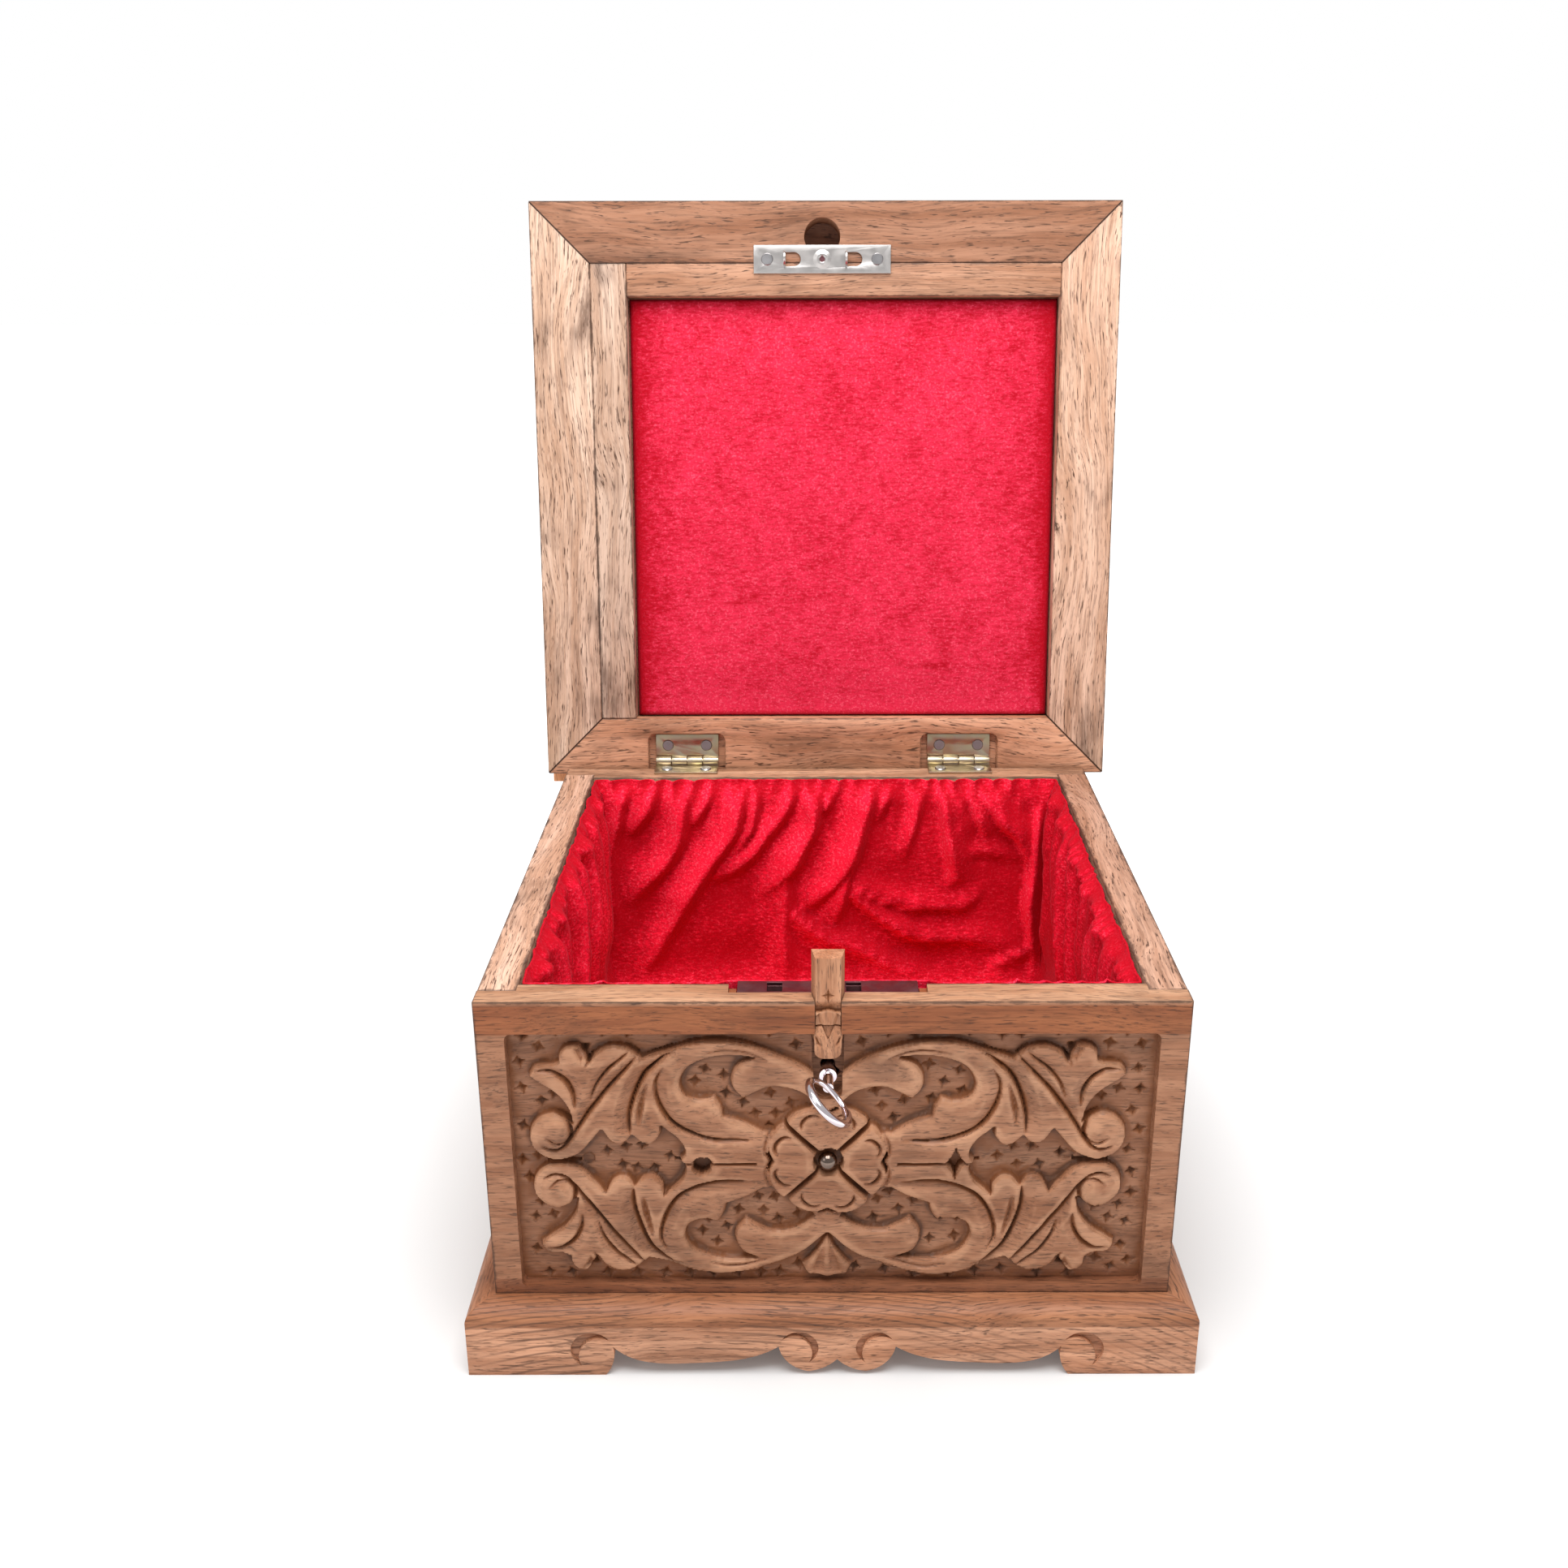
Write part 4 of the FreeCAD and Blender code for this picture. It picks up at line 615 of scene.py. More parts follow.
def from_line(line, u, w):
    """Distance from a line, share of its length at the nearest point, and side (1 at the left)."""
    best = np.full(u.shape, 1e9)
    along = np.zeros(u.shape)
    side = np.zeros(u.shape)
    lengths = np.hypot(*np.diff(line, axis=0).T)
    start = 0.0
    for (x0, y0), (x1, y1), length in zip(line[:-1], line[1:], lengths):
        if length < 1e-9:
            continue
        t = np.clip(((u - x0) * (x1 - x0) + (w - y0) * (y1 - y0)) / length ** 2, 0, 1)
        du = u - x0 - t * (x1 - x0)
        dw = w - y0 - t * (y1 - y0)
        near = du * du + dw * dw
        closer = near < best
        best[closer] = near[closer]
        along[closer] = (start + t * length)[closer]
        side[closer] = ((x1 - x0) * dw - (y1 - y0) * du)[closer]
        start += length
    return np.sqrt(best), along / start, np.sign(side)


def within(parts, u, w):
    """Distance from a closed outline, positive inside it."""
    loop = np.vstack([spline(part) for part in parts])
    loop = np.vstack([loop, loop[:1]])
    odd = np.zeros(u.shape, bool)
    for (x0, y0), (x1, y1) in zip(loop[:-1], loop[1:]):
        if y0 != y1:
            odd ^= ((y0 > w) != (y1 > w)) & (u < x0 + (w - y0) * (x1 - x0) / (y1 - y0))
    away = from_line(loop, u, w)[0]
    return np.where(odd, away, -away)


def step_up(value):
    """Smooth step from 0 to 1."""
    t = np.clip(value, 0, 1)
    return t * t * (3 - 2 * t)


def ripple(x, z, size, seed):
    """Smooth random field from -1 to 1 with features of a given size."""
    cells = 64
    lattice = np.random.default_rng(seed).uniform(-1, 1, (cells, cells))
    i, j = x / size, z / size
    i0, j0 = np.floor(i).astype(int), np.floor(j).astype(int)
    a, b = step_up(i - i0), step_up(j - j0)
    i0, j0, i1, j1 = i0 % cells, j0 % cells, (i0 + 1) % cells, (j0 + 1) % cells
    low = lattice[i0, j0] * (1 - a) + lattice[i1, j0] * a
    high = lattice[i0, j1] * (1 - a) + lattice[i1, j1] * a
    return low * (1 - b) + high * b


def blurred(field, reach):
    """A field smoothed by three box averages."""
    for _ in range(3):
        for axis in (0, 1):
            wide = np.pad(field, [(reach + 1, reach) if a == axis else (0, 0) for a in (0, 1)], mode="edge")
            run = np.cumsum(wide, axis=axis)
            count = field.shape[axis]
            upper = np.take(run, range(2 * reach + 1, 2 * reach + 1 + count), axis=axis)
            lower = np.take(run, range(count), axis=axis)
            field = (upper - lower) / (2 * reach + 1)
    return field


def gouge(height, u, w, cut, keep):
    """Height after one gouge cut that tapers to its ends, only where the mask keeps it."""
    points, half, depth, side, wide, drop = cut
    away, along, where = from_line(spline(points), u, w)
    taper = np.clip(np.sin(math.pi * np.clip(along, 0.0, 1.0)), 0, 1) ** 0.55
    groove = depth * taper * np.clip(1 - away / (half * (0.45 + 0.55 * taper)), 0, 1) ** 0.8
    slope = 1.15 * drop * taper * np.clip(1 - away / wide, 0, 1) ** 1.1 * (where == side)
    return np.where(keep, height - np.maximum(groove, slope + 0.7 * groove), height)


def leaf_height(u, w, relief):
    """Height of the leaves and volutes with their gouge cuts, in one quarter of the ornament."""
    leaf = within(LEAF, u, w)
    well = within(WELL, u, w)
    height = (relief - 0.1) * step_up((leaf + 0.15) / 0.75)
    height += 0.35 * (1 - np.exp(-np.clip(leaf, 0, None) / 1.2))
    out, up, radius = VOLUTE
    volute = np.hypot(u - out, w - up)
    height += 0.7 * np.clip(1 - (volute / radius) ** 2, 0, 1) * (leaf > 0)
    for cut in CUTS:
        height = gouge(height, u, w, cut, leaf > -0.3)
    height -= 2.0 * step_up(within(PIT, u, w) / 1.4) * np.clip((w - 31.5) / 5, 0, 1)
    height -= 0.9 * np.exp(-np.abs(well) / 2.0) * (leaf > 0.5) * (well < 0)
    return height * (1 - step_up((well + 0.5) / 0.9))


def with_rosette(height, dx, dz, relief):
    """Height with the rosette laid over it: four tilted petals, their cuts and the seat of the bead."""
    r, t = np.maximum(np.abs(dx), np.abs(dz)), np.minimum(np.abs(dx), np.abs(dz))
    angle = np.degrees(np.arctan2(dz, dx))
    tilt = (angle - 90 * np.round(angle / 90)) / 45
    petal = within(PETAL, r, t)
    flower = step_up((petal + 0.2) / 1.1) * (relief + 0.7 + 0.55 * tilt * np.clip(r / 10, 0, 1))
    flower -= 0.9 * np.clip(1 - (r - t) / 1.5, 0, 1) * (petal > 0.2) * np.clip(r / 8, 0, 1)
    flower = gouge(flower, r, t, (PETAL_CUT, 0.7, 1.7, 1, 2.2, 0.5), petal > 0)
    hub = np.hypot(dx, dz)
    inside = (hub < 19.0) & (petal > -0.2)
    height = np.where(inside, np.maximum(flower, np.where(hub < 18, 0.0, height)), height)
    moat = np.clip(1 - np.abs(petal + 0.5) / 0.7, 0, 1) * (petal < 0.1)
    height -= 0.8 * moat * (height > 0.8)
    seat = 4.6
    return np.where(hub < seat, np.minimum(height, relief + 0.3 - 3.4 * step_up((seat - hub) / 0.5)), height)


def with_fan(height, u, w, below):
    """Height with the fluted fan below the rosette."""
    fan = within(FAN, u, w)
    flutes = 0.45 * np.cos(u / np.clip(w - 23.5, 2, None) * 17)
    raised = np.maximum(height, (2.5 + flutes) * step_up((fan + 0.2) / 0.9))
    return np.where(below & (fan > -0.2), raised, height)


def with_holes(height, x, z, u, relief):
    """Height with the seam between the arms, the two larger holes and the two small ones."""
    on_seam = (np.abs(z - SEAM_RISE) < 0.45) & (((u > 21) & (u < 45)) | ((u > 73) & (u < 83)))
    height = np.where(on_seam, height - 1.1, height)
    dx, dz = x - LEFT_HOLE[0], z - LEFT_HOLE[1]
    left_hole = np.hypot(dx / 2.6, dz / 2.7) - 0.18 * (dx > 1) * (dz > 0)
    right_hole = (np.abs(x - RIGHT_HOLE[0]) / 3.1) ** 0.7 + (np.abs(z - RIGHT_HOLE[1]) / 4.9) ** 0.7
    (ax, az), (bx, bz) = SMALL_HOLES
    small = np.minimum(np.hypot(x - ax, z - az) / 1.9, np.hypot((x - bx) / 2.4, (z - bz) / 1.4))
    for hole in (left_hole, right_hole, small):
        height = np.minimum(height, np.where(hole < 1, -0.6, np.where(hole < 1.15, relief - 0.8, 9)))
    return height


def punch_stars(height, x, z, reach):
    """Punches the stars of the ground into a height, each a little turned."""
    turns = np.random.default_rng(12).uniform(-0.35, 0.35, len(STARS))
    for (sx, sz), turn in zip(STARS, turns):
        near = (np.abs(x - sx) < 3) & (np.abs(z - sz) < 3)
        px = np.abs((x[near] - sx) * math.cos(turn) + (z[near] - sz) * math.sin(turn)) / reach
        pz = np.abs((z[near] - sz) * math.cos(turn) - (x[near] - sx) * math.sin(turn)) / reach
        punch = np.clip(1.08 - px ** 0.62 - pz ** 0.62, 0, 1)
        height[near] -= 1.9 * punch ** 0.7


def carved_height(x, z, sizes):
    """Height of the carved front above its ground, in millimetres, at places in millimetres."""
    low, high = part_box("rosette_bead")
    dx = x - (low + high).x / 2 * MM + 0.35 * ripple(x, z, 17, 3)
    dz = z - (low + high).z / 2 * MM + 0.35 * ripple(x, z, 15, 4)
    u, w = np.abs(dx), np.abs(dz)
    relief = sizes.relief * MM
    height = leaf_height(u, w, relief)
    height = with_rosette(height, dx, dz, relief)
    height = with_fan(height, u, w, dz < 0)
    height = with_holes(height, x, z, u, relief)
    height += 0.16 * ripple(x, z, 3.1, 7) + 0.22 * ripple(x, z, 7.5, 8) + 0.05 * ripple(x, z, 1.1, 9)
    punch_stars(height, x, z, sizes.star * MM)
    return height


def dovetail(middle, foot, top, near, far, narrow, wide):
    """A closed dovetail with a rounded foot, narrow at its near face and wide at its far face (along Y)."""
    shape = bmesh.new()
    rings = []
    for y, half in ((near, narrow), (far, wide)):
        arc = [(middle - half * math.cos(a), foot - half * math.sin(a)) for a in np.linspace(0, math.pi, 17)]
        outline = [(middle + half, top), (middle - half, top)] + arc
        rings.append([shape.verts.new((x, y, z)) for x, z in outline])
    count = len(rings[0])
    for k in range(count):
        j = (k + 1) % count
        shape.faces.new((rings[0][k], rings[0][j], rings[1][j], rings[1][k]))
    shape.faces.new(rings[0][::-1])
    shape.faces.new(rings[1])
    bmesh.ops.recalc_face_normals(shape, faces=shape.faces)
    return shape


def relief_mesh(x, z, height, face, back):
    """Points and faces of a closed slab whose front stands at a height on the face (metres, front at -Y)."""
    count_x, count_z = x.shape
    front = np.stack([x, face - height, z], axis=-1).reshape(-1, 3)
    index = np.arange(count_x * count_z).reshape(count_x, count_z)
    quads = np.stack([index[:-1, :-1], index[1:, :-1], index[1:, 1:], index[:-1, 1:]], axis=-1).reshape(-1, 4)
    rim = np.concatenate([index[:-1, 0], index[-1, :-1], index[:0:-1, -1], index[0, :0:-1]])
    behind = front[rim].copy()
    behind[:, 1] = back
    first = len(front)
    ring = np.arange(first, first + len(rim))
    sides = [[int(rim[(k + 1) % len(rim)]), int(rim[k]), int(ring[k]), int(ring[(k + 1) % len(rim)])]
             for k in range(len(rim))]
    return np.vstack([front, behind]), quads.tolist() + sides + [ring[::-1].tolist()]


def cut_away(name, shape, *blocks):
    """A closed shape less closed blocks, as a plain mesh."""
    body = to_object(name, shape)
    tools = [to_object(name + "_tool", block) for block in blocks]
    for tool in tools:
        change = body.modifiers.new("Cut", "BOOLEAN")
        change.operation = "DIFFERENCE"
        change.solver = "EXACT"
        change.object = tool
    mesh = plain_mesh(body)
    for tool in tools:
        bpy.data.objects.remove(tool)
    return mesh


def joined(name, first, second):
    """One plain mesh from two, with the number attributes of the second kept."""
    count = len(first.vertices)
    mesh = add_mesh(name, [tuple(v.co) for part in (first, second) for v in part.vertices],
                    [list(p.vertices) for p in first.polygons]
                    + [[i + count for i in p.vertices] for p in second.polygons])
    for layer in second.attributes:
        if layer.data_type == "FLOAT" and layer.domain == "POINT":
            values = np.zeros(len(second.vertices), np.float32)
            layer.data.foreach_get("value", values)
            set_field(mesh, layer.name, np.concatenate([np.zeros(count, np.float32), values]))
    return mesh


def relief_with(name, points, faces, **fields):
    """A mesh of a relief slab with fields of numbers on its front."""
    mesh = add_mesh(name, points.tolist(), faces)
    for label, values in fields.items():
        set_field(mesh, label, values)
    return mesh


def slab(low, high, corner=0.0):
    """A closed block between two places, its four edges along Y rounded by a corner size."""
    shape = bmesh.new()
    bmesh.ops.create_cube(shape, size=1.0)
    for v in shape.verts:
        v.co = Vector([a + (b - a) * (c + 0.5) for a, b, c in zip(low, high, v.co)])
    if corner:
        edges = [e for e in shape.edges if abs(e.verts[0].co.y - e.verts[1].co.y) > SAME_PLACE]
        bmesh.ops.bevel(shape, geom=edges, offset=corner, segments=5, profile=0.5, affect="EDGES")
    return shape


def carved_slab(left, right, foot, head, face, deep):
    """The closed block of the carved field, with its crevices and sunk parts marked."""
    sizes = settings().carving
    over = 0.0002
    x = np.linspace(left - over, right + over, int((right - left) / sizes.step))
    z = np.linspace(foot - over, head + over, int((head - foot) / sizes.step))
    gx, gz = np.meshgrid(x * MM, z * MM, indexing="ij")
    ground = sizes.ground * MM
    height = np.minimum(carved_height(gx, gz, sizes), ground - 0.1)
    crevice = 0.8 * (blurred(height, 2) - height) + 0.2 * (blurred(height, 7) - height)
    border = np.minimum(np.minimum(gx - gx.min(), gx.max() - gx),
                        np.minimum(gz - gz.min(), gz.max() - gz))
    # Painted shade: the crevice field also grows towards the field's border, where the ground meets the
    # frame.
    crevice += 0.5 * np.exp(-border / 1.3)
    points, faces = relief_mesh(gx / MM, gz / MM, (height - ground) / MM, face, deep)
    return relief_with("carved_slab", points, faces, crevice=crevice,
                       sunk=np.clip(1 - height / (sizes.relief * MM), 0, 1))


def cover_way(face, head):
    """The blocks that clear the way of the keyhole cover: its dovetailed slot and its wider track."""
    low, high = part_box("keyhole_cover")
    middle = (low.x + high.x) / 2
    lowest = low.z - HEAD_DROP - COVER_TRAVEL - 0.0002
    slot = dovetail(middle, lowest + 0.0043, head + 0.004, face - 0.001, face + 0.009,
                    SLOT_NARROW, SLOT_WIDE)
    track = slab((middle - TRACK_HALF, face - 0.002, lowest),
                 (middle + TRACK_HALF, face + TRACK_DEPTH, head + 0.006), 0.0025)
    return slot, track


class PUZZLEBOX_OT_carved_front(bpy.types.Operator):
    """Carve the front board: leaves, volutes and rosette in relief on a star-punched ground."""

    bl_idname = "puzzlebox.carved_front"
    bl_label = "Carved Front"

    def execute(self, context):
        low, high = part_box("front_wall")
        face, deep = low.y, low.y + FIELD_DEPTH
        left, right = low.x + FIELD_SIDE, high.x - FIELD_SIDE
        foot, head = low.z + FIELD_FOOT, high.z - FIELD_HEAD
        board = cut_away("front_board", skin("front_wall"),
                         slab((left, face - 0.002, foot), (right, deep, head), 0.002))
        block = carved_slab(left, right, foot, head, face, deep - 0.00005)
        carved = cut_away("carved_slab", block, *cover_way(face, head))
        mesh = joined("front_wall_carved", board, carved)
        piece = to_object("front_wall_carved", mesh, 50)
        walnut = wood_material("Carved Walnut", tint=(0.67, 0.61, 0.57), stain=0.45, carved=True,
                               board="front_wall", worn=0.001, bands=FRONT_BANDS)
        settle(piece, walnut, "box", "walnut", "front_wall")
        return {"FINISHED"}


class PUZZLEBOX_OT_boards(bpy.types.Operator):
    """Build the back, side and floor boards of the box."""

    bl_idname = "puzzlebox.boards"
    bl_label = "Box Boards"

    def execute(self, context):
        for node, turn, shift, tint in (("back_wall", 0, 0.4, (1, 1.1, 1.2)),
                                        ("left_wall", -90, 0.9, (1.3, 1.65, 2.1)),
                                        ("right_wall", -90, 1.3, (0.98, 1.12, 1.34))):
            material = wood_pair("Walnut " + node, (0, 0, turn), shift, tint, pores=0.9, stain=0.5,
                                 board=node, worn=0.0016)
            settle(eased(node + "_board", node, 0.0004), material, "box", "walnut", node)
        floor = frame["nodes"]["floor_board"]
        floor.data.materials.clear()
        floor.data.materials.append(wood_material("Floor Plywood", tint=(1.3, 1.35, 1.3), stain=0.1))
        return {"FINISHED"}


class PUZZLEBOX_OT_plinth(bpy.types.Operator):
    """Build the four sawn rails of the plinth."""

    bl_idname = "puzzlebox.plinth"
    bl_label = "Plinth"

    def execute(self, context):
        for node, turn, shift in (("base_front", 0, 0.2), ("base_back", 0, 0.5), ("base_left", -90, 0.8),
                                  ("base_right", -90, 1.1)):
            material = wood_pair("Walnut " + node, (0, 0, turn), shift, (1.2, 1.2, 1.23),
                                 sawn=0.6 * (turn == 0), bands=PLINTH_BANDS)
            settle(eased(node + "_rail", node, 0.0003), material, "box", "walnut", node)
        return {"FINISHED"}


class PUZZLEBOX_OT_lid(bpy.types.Operator):
    """Build the lid: mitred rails, panel, filler strips and the hidden sliding strip."""

    bl_idname = "puzzlebox.lid"
    bl_label = "Lid"

    def execute(self, context):
        boards = (("lid_rail_front", 0, (0.70, 0.68, 0.70), 0.5), ("lid_rail_back", 0, (1.1, 1.1, 1.15), 0.4),
                  ("lid_rail_left", -90, (1.2, 1.66, 2.16), 0.9),
                  ("lid_rail_right", -90, (1.24, 1.6, 2.02), 0.6), ("lid_top_panel", 0, (1, 1, 1), 0.3),
                  ("lid_strip_front", 0, (0.86, 0.9, 0.96), 0.4),
                  ("lid_strip_left", -90, (1.05, 1.45, 1.9), 0.85))
        for k, (node, turn, tint, stain) in enumerate(boards):
            material = wood_pair("Walnut " + node, (LID_OPEN, 0, turn), 0.3 * k + 0.15, tint, pores=0.95,
                                 stain=stain, board=node)
            settle(eased(node + "_board", node, 0.0005), material, "lid", "walnut", node)
        pale = wood_pair("Pale Strip", (LID_OPEN, 0, -90), 2.2, (1.5, 1.35, 1.1), pores=0.3, stain=0.1)
        strip = eased("secret_strip", "secret_slide", 0.0003)
        settle(strip, pale, "secret_slide", "pale_wood", "secret_slide")
        return {"FINISHED"}


def cover_height(x, z, half):
    """Height of the cover's carved front, in millimetres, across it and up from the foot of its head."""
    fan_top, bulb_top, star_rise = 15.6, 10.6, 20.3
    reach = np.abs(x)
    height = -1.7 * step_up((18.9 - z) / 3.0) * (z > 15.0)
    fan = z < fan_top - 0.13 * x ** 2
    facet = np.clip((reach - 2.3 + 0.22 * (fan_top - z)) / 0.9, 0, 1)
    height = np.where(fan, -0.15 - 0.05 * (fan_top - z) - 0.6 * facet, height)
    bulb = z < bulb_top - 0.03 * x ** 2
    rounded = 0.45 * step_up((2.4 - z) / 2.4) + 0.35 * (reach / half) ** 4
    height = np.where(bulb, -0.9 * step_up((z - 6.8) / 3.8) - rounded, height)
    height -= 0.7 * np.clip(1 - np.abs(z - bulb_top + 0.03 * x ** 2) / 0.4, 0, 1)
    notch = (reach < 1.7 - 0.42 * (10.3 - z)) & (z > 6.6) & (z < 10.3)
    height = np.where(notch, height - 0.6, height)
    away, along, _ = from_line(spline([(3.6, 7.4), (3.0, 5.6), (2.2, 4.3)]), reach, z)
    height -= 0.75 * np.clip(1 - away / 0.5, 0, 1) * np.sin(math.pi * np.clip(along, 0.02, 0.98)) ** 0.5
    px, pz = reach / 2.0, np.abs(z - star_rise) / 2.2
    height -= 1.2 * np.clip(1.05 - px ** 0.7 - pz ** 0.7, 0, 1) ** 0.8
    return height + 0.05 * ripple(x + 40, z, 1.6, 61)


class PUZZLEBOX_OT_cover(bpy.types.Operator):
    """Build the sliding keyhole cover: a dovetailed bar with a carved fan and a tulip head."""

    bl_idname = "puzzlebox.cover"
    bl_label = "Keyhole Cover"

    def execute(self, context):
        low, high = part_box("keyhole_cover")
        middle, face, deep = (low.x + high.x) / 2, low.y, low.y + HEAD_DEPTH
        foot, top = low.z - HEAD_DROP, low.z + HEAD_REACH
        bar = cut_away("cover_bar", skin("keyhole_cover"),
                       slab((low.x - 0.002, face - 0.002, foot - 0.002), (high.x + 0.002, deep, top)))
        rise = np.linspace(0, (top - foot) * MM + 0.1, 190)
        width = np.interp(rise, HEAD_RISE, HEAD_HALF)
        share, gz = np.meshgrid(np.linspace(-1, 1, 61), rise, indexing="ij")
        gx = share * width[None, :]
        height = cover_height(gx, gz, width[None, :])
        points, faces = relief_mesh(middle + gx / MM, foot + gz / MM, height / MM, face, deep + 0.0001)
        front = relief_with("cover_front", points, faces, crevice=1.6 * (blurred(height, 3) - height))
        mesh = joined("keyhole_cover_bar", bar, front)
        material = wood_material("Walnut Cover", (0, -90, 0), 1.9, (0.95, 0.92, 0.88), stain=0.4, carved=True)
        settle(to_object("keyhole_cover_bar", mesh, 45), material, "keyhole_cover", "walnut", "keyhole_cover")
        return {"FINISHED"}


def turned(profile, count=32):
    """A closed turned shape about Z from radii and heights in millimetres; its last end takes material 1."""
    shape = bmesh.new()
    rings = [[shape.verts.new((r * math.cos(a) / MM, r * math.sin(a) / MM, h / MM))
              for a in np.linspace(0, 2 * math.pi, count, endpoint=False)] for r, h in profile]
    for lower, upper in zip(rings, rings[1:]):
        for k in range(count):
            j = (k + 1) % count
            shape.faces.new((lower[k], lower[j], upper[j], upper[k]))
    shape.faces.new(rings[0][::-1])
    shape.faces.new(rings[-1]).material_index = 1
    return shape


def add_boss(plate, steel):
    """Sets the stamped round boss on the strike plate; the floor of the hole in its middle is a disc of dark
    lock steel, painted shade of the hole.
    """
    low, high = shut_box("strike_plate")
    middle = Vector((low[0] + high[0], low[1] + high[1], 0)) / 2
    middle.z = shut_box("strike_nails")[0][2] + 0.0004
    # The turned boss's last end, the floor of its hole, takes the dark steel as painted shade.
    boss = turned([(3.4, -0.3), (3.4, 0.0), (2.7, 0.25), (2.0, 0.5), (1.35, 0.5), (1.05, 0.3), (1.0, 0.05)])
    boss.transform(LID_TURN @ Matrix.Translation(middle) @ Matrix.Rotation(math.pi, 4, "X"))
    boss.from_mesh(plate.data)
    boss.to_mesh(plate.data)
    boss.free()
    plate.data.materials.append(steel)


def thicken_bow(key):
    """Makes the ring of the key a little thicker than its solid."""
    ring_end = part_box("key")[0].y + 0.0125
    swell, fade = 0.0004, 0.002
    swollen = [(v, v.co + v.normal * swell * step_up((ring_end - v.co.y) / fade)) for v in key.data.vertices]
    for v, place in swollen:
        v.co = place


class PUZZLEBOX_OT_metalwork(bpy.types.Operator):
    """Build the lock, key, strike plate, hinges and bead."""

    bl_idname = "puzzlebox.metalwork"
    bl_label = "Metalwork"

    def execute(self, context):
        # The key's second, pinkish tone is a painted reflection of the red velvet.
        chrome = metal_material("Key Chrome", (0.72, 0.67, 0.69), (0.66, 0.52, 0.60), 0.12)
        nickel = metal_material("Strike Nickel", (0.50, 0.475, 0.46), (0.42, 0.40, 0.39), 0.36, 0.4)
        steel = metal_material("Lock Steel", (0.15, 0.06, 0.07), (0.24, 0.12, 0.12), 0.45)
        brass = metal_material("Hinge Brass", (0.50, 0.43, 0.28), (0.46, 0.38, 0.33), 0.34)
        bead = metal_material("Bead Bronze", (0.16, 0.12, 0.10), (0.30, 0.22, 0.18), 0.18)
        pieces = [("key", chrome, "key", "key_metal", 0.0002),
                  ("strike_plate", nickel, "lid", "strike_nickel", 0.0001),
                  ("lock_selvedge", steel, "box", "lock_steel", 0.00015),
                  ("lock_case", steel, "box", "lock_steel", 0.0001),
                  ("lock_bolt", steel, "lock_bolt", "lock_steel", 0.0001),
                  ("drill_pin", steel, "key_turner", "lock_steel", 0.0001),
                  ("rosette_bead", bead, "box", "bead_metal", 0.0001)]
        for side in ("left", "right"):
            for part, body in (("box_leaf", "box"), ("lid_leaf", "lid"), ("pin", "box")):
                pieces.append((f"hinge_{side}_{part}", brass, body, "hinge_brass", 0.00012))
        made = {node: settle(eased(node + "_metal", node, width, edge=0), material, body, slot, node)
                for node, material, body, slot, width in pieces}
        add_boss(made["strike_plate"], steel)
        thicken_bow(made["key"])
        return {"FINISHED"}


def nail_tree():
    """Node tree that sets a flat nail head with a sloped edge on every point, along the point's axis."""
    number, shape = "NodeSocketFloat", "NodeSocketGeometry"
    tree, given, result = group_tree(
        "Nail Heads", "GeometryNodeTree",
        [("Geometry", shape, None), ("Head Radius", number, NAIL_RADIUS),
         ("Head Height", number, NAIL_HEIGHT), ("Material", "NodeSocketMaterial", None)],
        [("Geometry", shape)])
    crown = sums(tree, "MULTIPLY", given["Head Radius"], 0.84)
    head = add_node(tree, "GeometryNodeMeshCone", {"Vertices": 32, "Radius Top": crown,
                                                   "Radius Bottom": given["Head Radius"],
                                                   "Depth": given["Head Height"]}).outputs["Mesh"]
    axis = add_node(tree, "GeometryNodeInputNamedAttribute", {"Name": "axis"},
                    data_type="FLOAT_VECTOR").outputs[0]
    turn = add_node(tree, "FunctionNodeAlignRotationToVector", {"Vector": axis}, axis="Z").outputs[0]
    heads = add_node(tree, "GeometryNodeInstanceOnPoints", {"Points": given["Geometry"], "Instance": head,
                                                           "Rotation": turn}).outputs[0]
    real = add_node(tree, "GeometryNodeRealizeInstances", {"Geometry": heads}).outputs[0]
    finish = add_node(tree, "GeometryNodeSetMaterial", {"Geometry": real, "Material": given["Material"]})
    tree.links.new(finish.outputs[0], result["Geometry"])
    return tree


def grow(name, points, axis, tree, values):
    """A plain mesh from a node tree that works on points with an axis."""
    mesh = add_mesh(name, points, [])
    spread = np.tile(np.array(axis, np.float32), len(points))
    mesh.attributes.new("axis", "FLOAT_VECTOR", "POINT").data.foreach_set("vector", spread)
    item = bpy.data.objects.new(name, mesh)
    bpy.context.scene.collection.objects.link(item)
    change = item.modifiers.new("Grow", "NODES")
    change.node_group = tree
    for socket in tree.interface.items_tree:
        if socket.name in values and socket.in_out == "INPUT":
            change[socket.identifier] = values[socket.name]
    return plain_mesh(item)


def islands(node):
    """The points of each separate solid of a node, in an order that stays the same each time."""
    shape = skin(node)
    left = dict.fromkeys(shape.verts)
    groups = []
    while left:
        stack = [left.popitem()[0]]
        group = []
        while stack:
            v = stack.pop()
            group.append(v.co.copy())
            for e in v.link_edges:
                other = e.other_vert(v)
                if other in left:
                    del left[other]
                    stack.append(other)
        groups.append(group)
    shape.free()
    return groups


